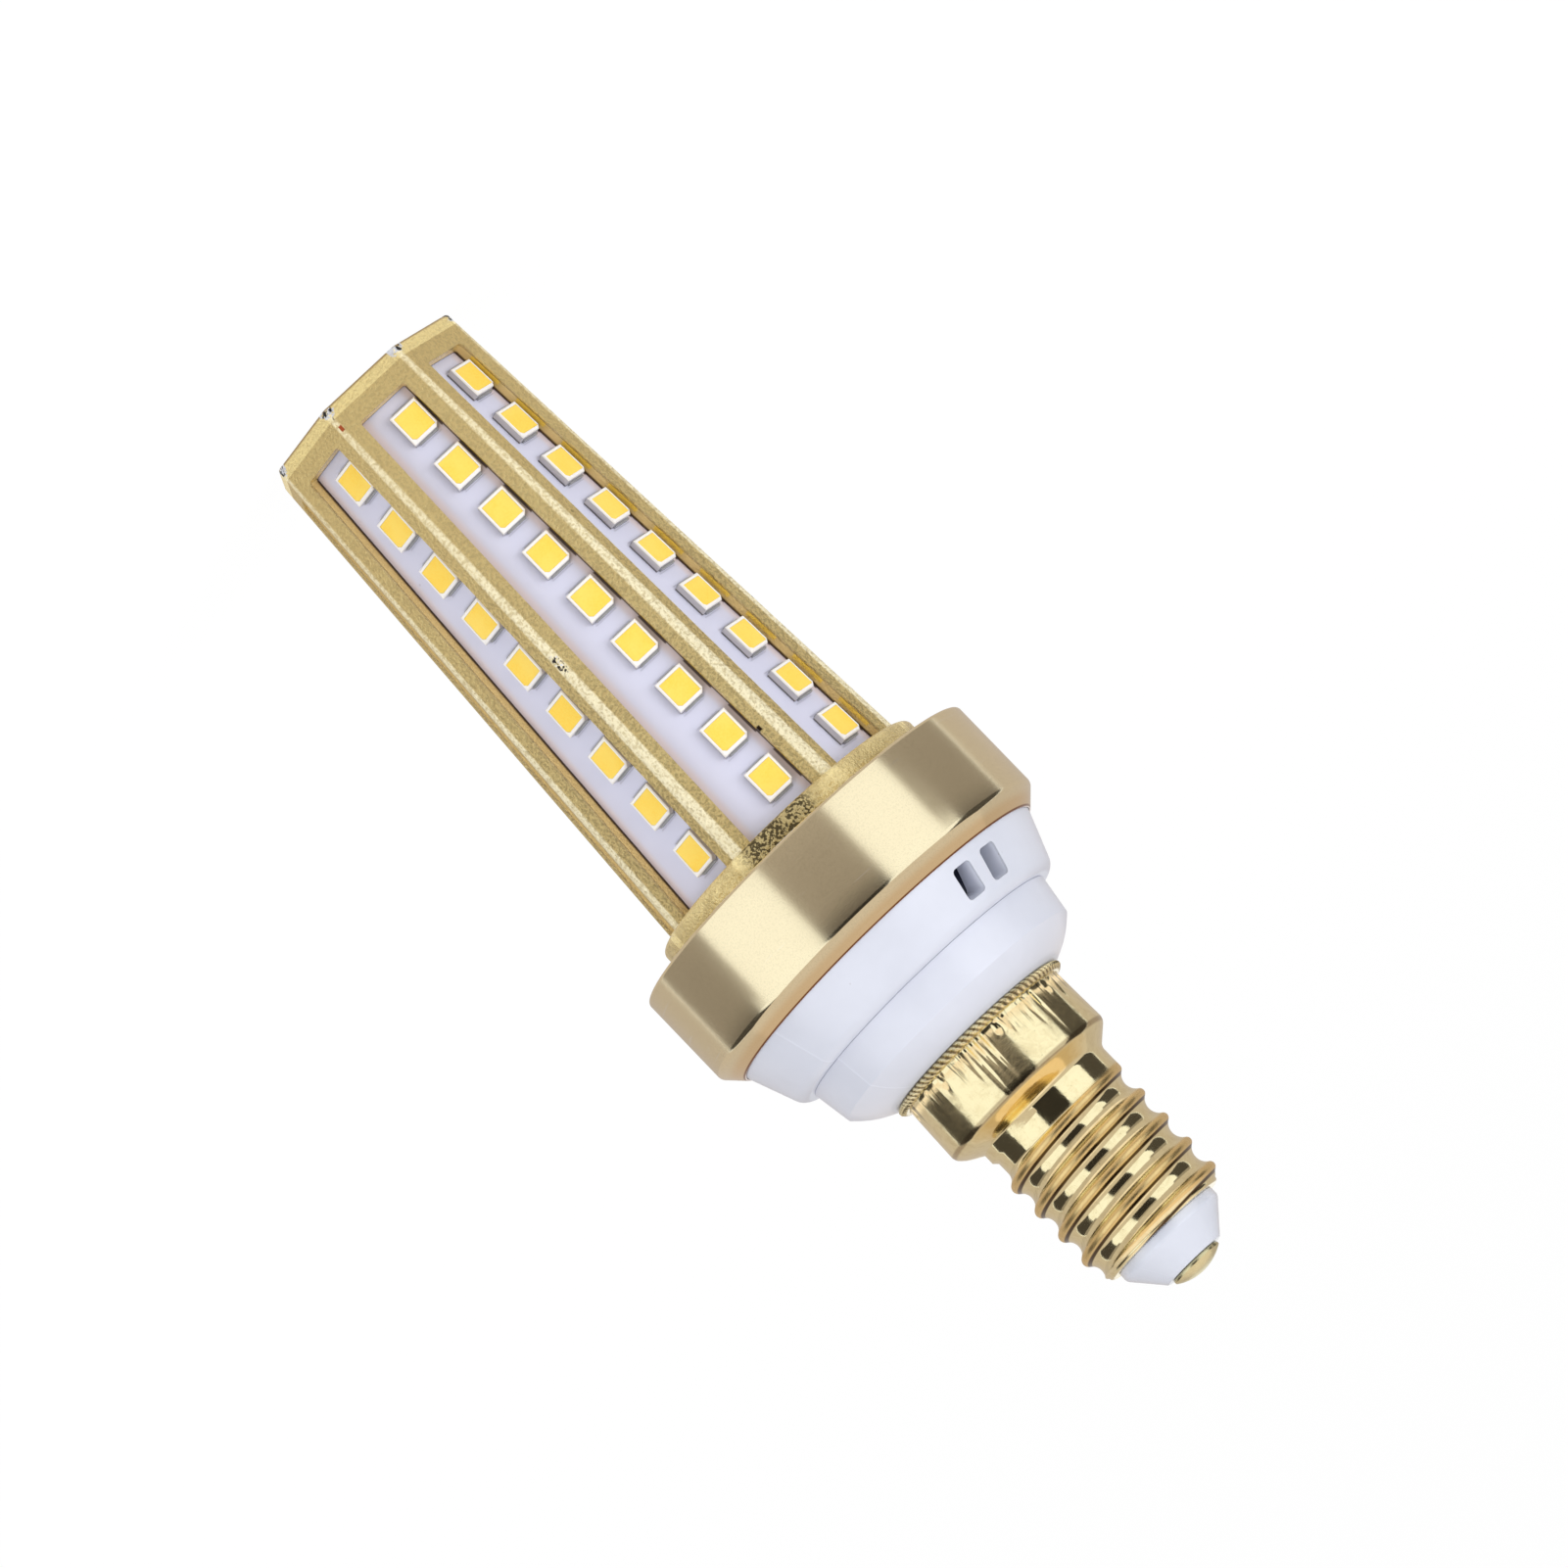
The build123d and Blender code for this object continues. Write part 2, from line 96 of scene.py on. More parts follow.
# What the settings below share
LENGTH = {"subtype": "DISTANCE", "unit": "LENGTH"}
COLOUR = {"size": 3, "min": 0.0, "max": 1.0, "subtype": "COLOR"}


def srgb(red, green, blue):
    """Linear colour of a display colour given as 0 to 255."""
    def linear(value):
        value = value / 255
        return value / 12.92 if value <= 0.04045 else ((value + 0.055) / 1.055) ** 2.4
    return (linear(red), linear(green), linear(blue))


# Settings that a user would change


class LampSizes(bpy.types.PropertyGroup):
    """Sizes of the detail that the skins add to the frame."""
    segments: IntProperty(name="Turning segments", description="Divisions round a turned skin",
                          default=288, min=48, max=720)
    shell_segments: IntProperty(name="Cap segments", description="Divisions round the screw cap",
                                default=420, min=120, max=720)
    knurl_teeth: IntProperty(name="Knurl teeth",
                             description="Teeth of the rope knurl on the cap's bead",
                             default=84, min=12, max=200)
    knurl_depth: FloatProperty(name="Knurl depth", description="Depth of the rope knurl",
                               default=0.0003, min=0.0, max=0.001, **LENGTH)
    thread_pitch: FloatProperty(name="Thread pitch", description="Rise of the cap's thread in one turn",
                                default=0.002822, min=0.001, max=0.01, precision=6, **LENGTH)
    thread_root: FloatProperty(name="Thread root radius", description="Radius in the thread's valleys",
                               default=0.00612, min=0.001, max=0.02, precision=5, **LENGTH)
    thread_crest: FloatProperty(name="Thread crest radius", description="Radius on the thread's crests",
                                default=0.00688, min=0.001, max=0.02, precision=5, **LENGTH)
    wrinkle_depth: FloatProperty(name="Skirt wrinkles",
                                 description="Depth of the draw marks on the cap's skirt",
                                 default=0.00016, min=0.0, max=0.0005, precision=6, **LENGTH)
    edge_bevel: FloatProperty(name="Cage edge round", description="Rounding on the cage's cut edges",
                              default=0.00013, min=0.0, max=0.001, precision=5, **LENGTH)


class LampColours(bpy.types.PropertyGroup):
    """Base colours of the lamp's finishes."""
    cage_gold: FloatVectorProperty(name="Cage gold", description="Blasted anodised gold of the cage",
                                   default=srgb(240, 219, 156), **COLOUR)
    collar_gold: FloatVectorProperty(name="Collar gold",
                                     description="Satin anodised gold of the collar",
                                     default=srgb(255, 243, 206), **COLOUR)
    housing_white: FloatVectorProperty(name="Housing white",
                                       description="Moulded plastic of the housing",
                                       default=srgb(213, 216, 228), **COLOUR)
    board_white: FloatVectorProperty(name="Board white", description="Solder mask of the LED boards",
                                     default=srgb(213, 214, 234), **COLOUR)
    package_white: FloatVectorProperty(name="Package white", description="Moulded LED package",
                                       default=srgb(246, 243, 240), **COLOUR)
    phosphor: FloatVectorProperty(name="Phosphor", description="Yellow silicone over the LED chip",
                                  default=srgb(255, 217, 88), **COLOUR)
    cap_plate: FloatVectorProperty(name="Cap plate", description="Bright plate of the screw cap",
                                   default=srgb(255, 244, 198), **COLOUR)
    insulator: FloatVectorProperty(name="Tip insulator", description="Glassy white of the tip",
                                   default=srgb(212, 216, 228), **COLOUR)


# Shader building blocks


class Tree:
    """A node tree that is wired one node at a time, from left to right."""

    def __init__(self, tree):
        self.tree = tree
        self.column = 0

    def add(self, kind, inputs=None, **settings):
        node = self.tree.nodes.new(kind)
        node.location = (self.column * 190, 0)
        self.column += 1
        for name, value in settings.items():
            setattr(node, name, value)
        for key, value in (inputs or {}).items():
            self.feed(node.inputs[key], value)
        return node

    def feed(self, socket, value):
        """Link or plain value into a socket."""
        if isinstance(value, bpy.types.NodeSocket):
            self.tree.links.new(value, socket)
        elif socket.type == "RGBA" and len(value) == 3:
            socket.default_value = (*value, 1.0)
        else:
            socket.default_value = value

    def math(self, operation, *values, clamp=False):
        inputs = dict(enumerate(values))
        return self.add("ShaderNodeMath", inputs, operation=operation, use_clamp=clamp).outputs[0]

    def times(self, first, *others):
        """Product of two or more values."""
        for other in others:
            first = self.math("MULTIPLY", first, other)
        return first

    def plus(self, first, second):
        return self.math("ADD", first, second)

    def minus(self, first, second):
        return self.math("SUBTRACT", first, second)

    def off(self, value, centre):
        """Distance of a value from a centre."""
        return self.math("ABSOLUTE", self.minus(value, centre))

    def ramp(self, value, low, high, start=0.0, end=1.0):
        """Smooth step of a value between two limits."""
        inputs = {"Value": value, "From Min": low, "From Max": high, "To Min": start, "To Max": end}
        return self.add("ShaderNodeMapRange", inputs, interpolation_type="SMOOTHSTEP").outputs["Result"]

    def blend(self, share, tone, colour):
        """A linear colour laid over a tone."""
        return self.add("ShaderNodeMix", {0: share, 6: tone, 7: colour}, data_type="RGBA").outputs[2]

    def paint(self, tone, share, colour, amount=None):
        """A display colour, given as 0 to 255, laid over a tone."""
        if amount is not None:
            share = self.times(share, amount)
        return self.blend(share, tone, srgb(*colour))

    def noise(self, vector, scale, detail=3.0, rough=0.55, distortion=0.0):
        inputs = {"Vector": vector, "Scale": scale, "Detail": detail, "Roughness": rough,
                  "Distortion": distortion}
        return self.add("ShaderNodeTexNoise", inputs).outputs["Fac"]

    def cells(self, vector, scale):
        return self.add("ShaderNodeTexVoronoi", {"Vector": vector, "Scale": scale}).outputs["Distance"]

    def patch(self, place, height, angle, long, wide):
        """Small soft-edged patch at a height and angle on the lamp."""
        turned = self.times(self.off(place["Angle"], angle), place["Radius"])
        up = self.ramp(self.off(place["Height"], height), long, long * 0.6)
        return self.times(up, self.ramp(turned, wide, wide * 0.6))

    def stretch(self, vector, scale, turn=(0.0, 0.0, 0.0)):
        inputs = {"Vector": vector, "Scale": scale, "Rotation": turn}
        return self.add("ShaderNodeMapping", inputs).outputs[0]


def shared_group(name, build, **given):
    """Shader group, built on its first use, with the outputs that its builder returns."""
    if name in bpy.data.node_groups:
        return bpy.data.node_groups[name]
    tree = bpy.data.node_groups.new(name, "ShaderNodeTree")
    tree.interface.new_socket(name="Vector", in_out="INPUT", socket_type="NodeSocketVector")
    for label, default in given.items():
        socket = tree.interface.new_socket(name=label, in_out="INPUT", socket_type="NodeSocketFloat")
        socket.default_value = default
    t = Tree(tree)
    results = build(t, t.add("NodeGroupInput").outputs)
    for label, result in results.items():
        kind = "NodeSocketVector" if result.type == "VECTOR" else "NodeSocketFloat"
        tree.interface.new_socket(name=label, in_out="OUTPUT", socket_type=kind)
    t.add("NodeGroupOutput", results)
    return tree


def place_group():
    """Position in millimetres, and where a point lies on the octagonal cage."""
    def build(t, given):
        scaled_to = t.add("ShaderNodeVectorMath", {0: given["Vector"], 3: 1 / MM}, operation="SCALE")
        spot = scaled_to.outputs[0]
        x, y, height = t.add("ShaderNodeSeparateXYZ", {0: spot}).outputs
        radius = t.math("SQRT", t.plus(t.times(x, x), t.times(y, y)))
        angle = t.math("ARCTAN2", y, x)
        step = math.tau / FACE_COUNT
        shifted = t.plus(angle, math.tau + math.pi / 2 + step / 2)
        local = t.minus(t.math("MODULO", shifted, step), step / 2)
        apothem = t.times(radius, t.math("COSINE", local))
        across = t.times(radius, t.math("SINE", local))
        face = t.plus(t.times(height, CAGE_TAPER), HEAD_APOTHEM)
        half = t.times(apothem, math.tan(step / 2))
        flat = t.add("ShaderNodeCombineXYZ", {0: t.times(angle, 9.0), 1: height, 2: radius})
        from_first = t.plus(height, LED_PITCH * 20.5 - LED_FIRST)
        beat = t.minus(t.math("MODULO", from_first, LED_PITCH), LED_PITCH / 2)
        return {"Spot": spot, "Height": height, "Radius": radius, "Angle": angle,
                "Depth": t.minus(face, apothem), "Ridge": t.minus(half, t.math("ABSOLUTE", across)),
                "Across": across, "LED": t.math("ABSOLUTE", beat), "Flat": flat.outputs[0]}
    return shared_group("Place on lamp", build)


def grain_group():
    """Blasted and cast grain: fine crossed specks, over slow patches."""
    def build(t, given):
        vector = given["Vector"]
        scale = t.math("DIVIDE", 1.0, given["Grain size"])
        fine = t.noise(vector, scale, 2.0, 0.6)
        slant = t.stretch(vector, (1.0, 0.38, 1.0), (0.6, 0.0, 0.75))
        counter = t.stretch(vector, (1.0, 0.38, 1.0), (-0.6, 0.0, -0.75))
        crossed = t.times(t.noise(slant, scale, 1.0, 0.5), t.noise(counter, scale, 1.0, 0.5), 2.0)
        return {"Specks": t.plus(t.times(fine, 0.75), t.times(crossed, 0.25)),
                "Patches": t.noise(vector, 0.22, 3.0, 0.6)}
    return shared_group("Blasted grain", build, **{"Grain size": 0.3})


def mottle_group():
    """Tarnish and handling marks: soft blots, and small dark spots inside them."""
    def build(t, given):
        scale = t.math("DIVIDE", 1.0, given["Blot size"])
        blots = t.ramp(t.noise(given["Vector"], scale, 5.0, 0.65, distortion=0.6), 0.42, 0.68)
        cells = t.cells(given["Vector"], t.times(scale, 1.7))
        return {"Blots": blots, "Spots": t.times(t.ramp(cells, 0.16, 0.05), blots)}
    return shared_group("Mottle", build, **{"Blot size": 1.5})


def dust_group():
    """Sparse dust specks and a slight unevenness of moulded or glazed surfaces."""
    def build(t, given):
        vector = given["Vector"]
        gate = t.ramp(t.noise(vector, 0.9, 2.0), 0.56, 0.66)
        dust = t.times(t.ramp(t.cells(vector, 0.55), 0.09, 0.03), gate, given["Amount"])
        tint = t.noise(vector, 0.16, 3.0, 0.6)
        height = t.plus(t.times(tint, 0.5), t.times(t.noise(vector, 9.0, 3.0, 0.6), 0.05))
        return {"Dust": dust, "Tint": tint, "Height": height}
    return shared_group("Dust and sink", build, Amount=0.5)


def turning_group():
    """Fine rings left by turning or spinning, with a few light scratches."""
    def build(t, given):
        along = t.stretch(given["Vector"], (0.05, 1.0, 1.0))
        slanted = t.stretch(given["Vector"], (0.22, 2.4, 0.4), (0.0, 0.0, 0.5))
        return {"Rings": t.noise(along, given["Ring density"], 3.0, 0.7),
                "Scratches": t.ramp(t.noise(slanted, 1.6, 2.0, 0.4, distortion=0.2), 0.71, 0.76)}
    return shared_group("Turning marks", build, **{"Ring density": 9.0})


def use_group(t, group, vector, **inputs):
    """A shared effect, placed in a material with its own values."""
    node = t.add("ShaderNodeGroup", node_tree=group)
    t.feed(node.inputs["Vector"], vector)
    for label, value in inputs.items():
        t.feed(node.inputs[label.replace("_", " ")], value)
    return node.outputs


def bare_tree(block):
    """Emptied node tree of a new material or world."""
    block.use_nodes = True
    block.node_tree.nodes.clear()
    return Tree(block.node_tree)


def new_material(name):
    """Tree of a new material, and its place on the lamp."""
    material = bpy.data.materials.new(name)
    t = bare_tree(material)
    t.material = material
    return t, use_group(t, place_group(), t.add("ShaderNodeTexCoord").outputs["Object"])


def finished(t, colour, rough, metal, height, bump, reach, **plain):
    """The tree's material, closed with a Principled surface and its bump."""
    bumped = t.add("ShaderNodeBump", {"Strength": bump, "Distance": reach, "Height": height})
    shader = t.add("ShaderNodeBsdfPrincipled", {
        "Base Color": colour, "Roughness": rough, "Metallic": metal, "Normal": bumped.outputs[0]})
    for name, value in plain.items():
        shader.inputs[name.replace("_", " ")].default_value = value
    t.add("ShaderNodeOutputMaterial", {"Surface": shader.outputs[0]})
    return t.material


def scaled(colour, factor):
    """The same colour, darker or lighter."""
    return tuple(min(1.0, channel * factor) for channel in colour)


# Materials


def beside_led(t, place):
    """Strip along one side of each LED, where its light and its shadow fall."""
    return t.times(t.ramp(place["LED"], 1.75, 1.55), t.ramp(place["Across"], -1.8, -2.2))


def cage_material(colour):
    """Blasted gold anodising: a painted highlight along the ribs, smooth in the windows and on the lip,
    with a painted yellow reflection of the LEDs and painted shade at the foot of the window walls,
    chips at the head's corners and a dark mottled patch on the front of the lip."""
    t, place = new_material("Cage gold")
    spot, height, depth, ridge = (place[name] for name in ("Spot", "Height", "Depth", "Ridge"))
    grain = use_group(t, grain_group(), spot, Grain_size=0.27)
    specks = grain["Specks"]
    blots = use_group(t, mottle_group(), spot, Blot_size=2.6)["Blots"]
    towards_collar = t.ramp(height, *CAGE_RUN, 0.45, 1.0)
    speck = t.times(t.ramp(specks, 0.56, 0.4), towards_collar)
    tone = t.blend(t.times(speck, 0.75), colour, scaled(colour, 0.62))
    tone = t.blend(t.ramp(grain["Patches"], 0.35, 0.7, 0.0, 0.18), tone, scaled(colour, 1.22))
    # Painted highlight: a light ribbon along each rib, widening towards the collar
    widening = t.plus(t.times(height, 0.007), 0.36)
    rib_highlight = t.ramp(t.minus(ridge, widening), 0.05, -0.2)
    rib_highlight = t.times(rib_highlight, t.ramp(depth, 0.9, 0.2), t.ramp(specks, 0.4, 0.56, 0.5, 1.0))
    rib_highlight = t.math("MULTIPLY", rib_highlight, t.ramp(height, *CAGE_RUN, 0.85, 1.2), clamp=True)
    tone = t.paint(tone, rib_highlight, (255, 245, 208))
    wall = t.times(t.ramp(depth, 0.12, 0.3), t.ramp(height, LIP_LOW - 0.05, LIP_LOW - 0.25))
    tone = t.paint(tone, wall, (232, 196, 118), 0.7)
    # Painted reflection: the LEDs' yellow light on the window walls beside each package
    glow = t.times(wall, beside_led(t, place), t.ramp(depth, 0.14, 0.24), t.ramp(depth, 0.8, 0.6))
    tone = t.paint(tone, glow, (255, 214, 88))
    # Painted shade at the foot of the window walls, where they meet the boards
    tone = t.paint(tone, t.times(wall, t.ramp(depth, 0.92, 1.12)), (60, 32, 16), 0.9)
    lip = t.ramp(height, LIP_LOW - 0.03, LIP_LOW + 0.1)
    tone = t.paint(tone, lip, (255, 236, 174))
    corner = t.times(t.ramp(height, 1.3, 0.2), t.ramp(ridge, 1.15, 0.15))
    chip = t.times(corner, t.ramp(t.noise(spot, 1.7, 4.0, 0.7), 0.44, 0.54))
    chip = t.ramp(chip, 0.12, 0.3)
    tone = t.paint(tone, chip, (218, 220, 226))
    pit = t.times(t.ramp(corner, 0.42, 0.62), t.ramp(t.noise(spot, 2.3, 3.0), 0.5, 0.6))
    tone = t.paint(tone, pit, (22, 20, 20))
    edge = t.times(t.ramp(height, 0.3, 0.1), t.minus(1.0, chip))
    tone = t.paint(tone, edge, (126, 88, 52), 0.75)
    nick = t.times(t.ramp(t.cells(spot, 0.42), 0.1, 0.04), t.ramp(ridge, 1.3, 0.5),
                   t.ramp(blots, 0.3, 0.7))
    tone = t.paint(tone, nick, (58, 42, 26), 0.9)
    tone = t.paint(tone, t.times(lip, blots), (132, 104, 44), 0.3)
    # Dark mottled patch on the front of the lip, the camera's side
    lip_front_dark = t.times(lip, t.ramp(t.off(place["Angle"], FRONT), 0.34, 0.2),
                   t.ramp(specks, 0.53, 0.47, 0.3, 1.0))
    tone = t.paint(tone, lip_front_dark, (48, 38, 20), 0.9)
    scuff = t.patch(place, 29.6, -1.178, 1.15, 0.42)
    broken = t.noise(spot, 2.6, 2.0)
    tone = t.paint(tone, t.times(scuff, t.ramp(broken, 0.52, 0.56)), (40, 38, 40))
    tone = t.paint(tone, t.times(scuff, t.ramp(broken, 0.44, 0.4)), (240, 240, 244))
    tone = t.paint(tone, t.patch(place, 45.1, -1.852, 0.3, 0.26), (46, 32, 22))
    tone = t.paint(tone, t.patch(place, 2.2, -1.19, 0.36, 0.2), (176, 84, 40))
    smooth = t.math("MAXIMUM", wall, lip)
    rough = t.plus(t.minus(0.38, t.times(smooth, 0.24)), t.times(specks, 0.1))
    relief = t.times(specks, t.minus(towards_collar, t.times(smooth, 0.4)))
    relief = t.minus(relief, t.times(pit, 1.2))
    metal = t.minus(0.82, t.times(t.math("MAXIMUM", rib_highlight, wall), 0.6))
    metal = t.minus(metal, t.times(lip, 0.2))
    return finished(t, tone, rough, metal, relief, 1.0, 0.00035)


def collar_material(colour):
    """Satin gold anodising over turning marks, with hairline scratches, a painted warm reflection on
    the shoulder and a painted dark line at its top edge.
    """
    t, place = new_material("Collar gold")
    turning = use_group(t, turning_group(), place["Flat"], Ring_density=7.0)
    grain = use_group(t, grain_group(), place["Spot"], Grain_size=0.16)
    below_top = t.minus(COLLAR_TOP, place["Height"])
    tone = t.blend(t.ramp(grain["Specks"], 0.5, 0.4, 0.0, 0.6), colour, scaled(colour, 0.9))
    tone = t.blend(t.ramp(grain["Patches"], 0.3, 0.75, 0.0, 0.25), tone, scaled(colour, 0.9))
    # Painted reflection: a warm tan tone on the sloping shoulder
    tone = t.paint(tone, t.ramp(below_top, 1.2, 0.5), (242, 208, 156), 0.6)
    # Painted shade: a dark brown line at the collar's top edge, by the gap to the housing
    tone = t.paint(tone, t.ramp(below_top, 0.16, 0.08), (140, 88, 52))
    tone = t.paint(tone, turning["Scratches"], (255, 252, 236), 0.4)
    rough = t.plus(0.15, t.times(turning["Rings"], 0.03))
    rough = t.minus(rough, t.times(turning["Scratches"], 0.06))
    rough = t.minus(rough, t.ramp(below_top, 1.9, 1.4, 0.0, 0.07))
    relief = t.plus(t.times(turning["Rings"], 0.12), t.times(grain["Specks"], 0.6))
    return finished(t, tone, rough, 1.0, relief, 0.1, 0.00002)


def plastic_material(name, colour, rough, coat, dust):
    """Moulded or glazed white: soft tint, sink marks, a mould seam with a painted highlight, painted
    light inside the slots and a little dust.
    """
    t, place = new_material(name)
    marks = use_group(t, dust_group(), place["Spot"], Amount=dust)
    tone = t.blend(t.ramp(marks["Tint"], 0.35, 0.7, 0.0, 0.6), colour, scaled(colour, 0.93))
    tone = t.paint(tone, marks["Dust"], (120, 112, 108))
    # Painted light inside the vent slots: their walls drawn lighter than the housing
    above = t.minus(place["Height"], COLLAR_TOP)
    cone = t.minus(CONE_FOOT, t.times(above, CONE_SLOPE))
    inside = t.ramp(t.minus(cone, place["Radius"]), 0.1, 0.3)
    slot = t.times(inside, t.ramp(above, 0.5, 0.7), t.ramp(above, 4.2, 4.0))
    tone = t.blend(slot, tone, scaled(colour, 1.3))
    # Mould seam: a real ridge in the bump, with a painted highlight along it in the colour
    seam = t.ramp(t.off(place["Angle"], SEAM_ANGLE), 0.009, 0.003)
    tone = t.blend(t.times(seam, 0.5), tone, scaled(colour, 1.14))
    relief = t.plus(marks["Height"], t.times(seam, 0.8))
    rough_now = t.plus(rough - 0.03, t.times(marks["Tint"], 0.07))
    return finished(t, tone, rough_now, 0.0, relief, 0.3, 0.00005,
                    Coat_Weight=coat, Coat_Roughness=0.12)


def board_material(colour):
    """White solder mask over copper: faint tracks at the pads with painted shadow past each LED's ends,
    painted shadows beside LEDs and walls.
    """
    t, place = new_material("Board white")
    marks = use_group(t, dust_group(), place["Spot"], Amount=0.25)
    offset, across, ridge = (place[name] for name in ("LED", "Across", "Ridge"))
    # Grey band just past each LED's ends: a track ridge in the bump, with painted shadow in the colour
    pad_track_and_shadow = t.times(t.ramp(offset, 1.78, 1.84), t.ramp(offset, 1.98, 1.92))
    pad_track_and_shadow = t.times(pad_track_and_shadow, t.ramp(across, 0.2, 0.0), t.ramp(across, -2.3, -2.1))
    tone = t.paint(colour, pad_track_and_shadow, (160, 158, 172), 0.4)
    tone = t.blend(t.ramp(marks["Tint"], 0.35, 0.7, 0.0, 0.25), tone, scaled(colour, 0.93))
    tone = t.paint(tone, t.ramp(ridge, 2.1, 1.3), (220, 194, 184), 0.5)
    shadow = t.times(beside_led(t, place), t.ramp(ridge, 1.32, 1.22))
    shadow = t.math("MAXIMUM", shadow, t.ramp(ridge, 1.18, 1.1))
    tone = t.paint(tone, shadow, (58, 34, 20), 0.9)
    tone = t.paint(tone, marks["Dust"], (120, 110, 104))
    rough = t.plus(0.27, t.times(marks["Tint"], 0.1))
    return finished(t, tone, rough, 0.0, t.minus(marks["Height"], pad_track_and_shadow), 0.35, 0.00005)


def package_material(colour):
    """White LED package, moulded smooth: painted shade down its sides, painted shadow at its foot."""
    t, place = new_material("LED package")
    marks = use_group(t, dust_group(), place["Spot"], Amount=0.15)
    tone = t.blend(t.ramp(marks["Tint"], 0.3, 0.75, 0.0, 0.4), colour, scaled(colour, 0.95))
    # Painted shade down the sides of the package
    tone = t.paint(tone, t.ramp(place["Depth"], 0.48, 0.6, 0.0, 0.8), (196, 194, 200))
    # Painted shadow at the foot of the package, where it meets the board
    tone = t.paint(tone, t.ramp(place["Depth"], 1.02, 1.16, 0.0, 0.85), (74, 66, 66))
    rough = t.plus(0.24, t.times(marks["Tint"], 0.1))
    return finished(t, tone, rough, 0.0, marks["Height"], 0.15, 0.00003)


def phosphor_material(colour):
    """Yellow silicone: even, with a finely granular shade and a waxy gloss."""
    t, place = new_material("Phosphor")
    fine = t.noise(place["Spot"], 5.0, 4.0, 0.6)
    soft = t.noise(place["Spot"], 0.35, 2.0, 0.5)
    tone = t.paint(colour, t.ramp(fine, 0.35, 0.7, 0.0, 0.5), (255, 205, 62))
    tone = t.paint(tone, t.ramp(soft, 0.35, 0.7, 0.0, 0.35), (255, 228, 120))
    return finished(t, tone, t.plus(0.38, t.times(fine, 0.12)), 0.0, fine, 0.25, 0.00002)


def plate_material(colour, pitch, teeth):
    """Bright pale plate of the cap: a painted glint on the front of the cone, a painted dark reflection
    line round the skirt's edge, painted reflection tones on the thread crests with a painted dark
    reflection line on one flank, draw marks on the skirt and tarnish in the knurl's valleys."""
    t, place = new_material("Cap plate")
    spot, height, angle, flat = (place[name] for name in ("Spot", "Height", "Angle", "Flat"))
    mottle = use_group(t, mottle_group(), spot, Blot_size=0.9)
    turning = use_group(t, turning_group(), flat, Ring_density=5.0)
    tone = t.paint(colour, mottle["Blots"], (196, 160, 92), 0.16)
    tone = t.paint(tone, mottle["Spots"], (90, 72, 40), 0.35)
    above_skirt = t.minus(height, SKIRT_EDGE)
    # Painted glint: a gold reflection on the front of the cap's cone
    cone = t.times(t.ramp(above_skirt, 0.1, 0.4), t.ramp(above_skirt, 1.6, 1.3))
    cone = t.times(cone, t.ramp(t.off(angle, FRONT), 1.0, 0.5))
    tone = t.paint(tone, cone, (236, 192, 86), 0.6)
    # Painted reflection: a dark brown line round the top edge of the skirt
    tone = t.paint(tone, t.ramp(t.math("ABSOLUTE", above_skirt), 0.32, 0.1), (120, 78, 40), 0.5)
    up_thread = t.minus(height, THREAD_FIRST)
    wound = t.math("DIVIDE", t.math("FLOORED_MODULO", angle, math.tau), math.tau)
    turns = t.minus(t.math("DIVIDE", up_thread, pitch), wound)
    offset = t.minus(turns, t.math("ROUND", turns))
    from_crest = t.math("ABSOLUTE", offset)
    started = t.ramp(turns, -0.5, -0.4)
    # Painted reflection tone on the thread's crests; the same mask also sets their roughness
    crest = t.times(t.ramp(from_crest, 0.2, 0.1), t.ramp(place["Radius"], 6.4, 6.6), started,
                    t.ramp(up_thread, -0.6, -0.2))
    tone = t.paint(tone, crest, (244, 208, 132), 0.7)
    # Painted reflection: a dark line along one flank of each crest
    flank = t.times(t.ramp(t.off(offset, 0.175), 0.06, 0.025), t.ramp(up_thread, -0.2, 0.4), started,
                    t.math("MAXIMUM", t.ramp(turns, 0.5, 0.6), t.ramp(wound, 0.06, 0.3)))
    tone = t.paint(tone, flank, (66, 40, 14), 0.95)
    up = t.minus(height, SHELL_LOW)
    skirt = t.times(t.ramp(up, 0.7, 0.95), t.ramp(above_skirt, 0.5, 0.1))
    drawn = t.noise(t.stretch(flat, (1.0, 0.09, 0.3)), 2.6, 3.0, 0.6)
    streak = t.times(t.ramp(drawn, 0.57, 0.64), t.ramp(up, 3.6, 1.2), skirt)
    tone = t.paint(tone, streak, (44, 36, 22), 0.85)
    bead = t.ramp(up, 0.85, 0.6)
    twist = t.plus(t.times(angle, teeth), t.times(t.minus(height, CAP_BASE), KNURL_TWIST))
    valley = t.times(t.ramp(t.math("COSINE", twist), 0.2, -0.7), bead)
    tone = t.paint(tone, valley, (112, 84, 46), 0.75)
    rough = t.plus(0.085, t.times(mottle["Blots"], 0.06))
    for mask, amount in ((bead, 0.12), (skirt, 0.04), (crest, 0.14)):
        rough = t.plus(rough, t.times(mask, amount))
    rough = t.plus(rough, t.times(started, t.ramp(from_crest, 0.3, 0.18, 0.0, 0.09)))
    relief = t.plus(t.times(turning["Rings"], 0.15), t.noise(spot, 1.6, 3.0, 0.6))
    return finished(t, tone, rough, 1.0, relief, 0.1, 0.00005)


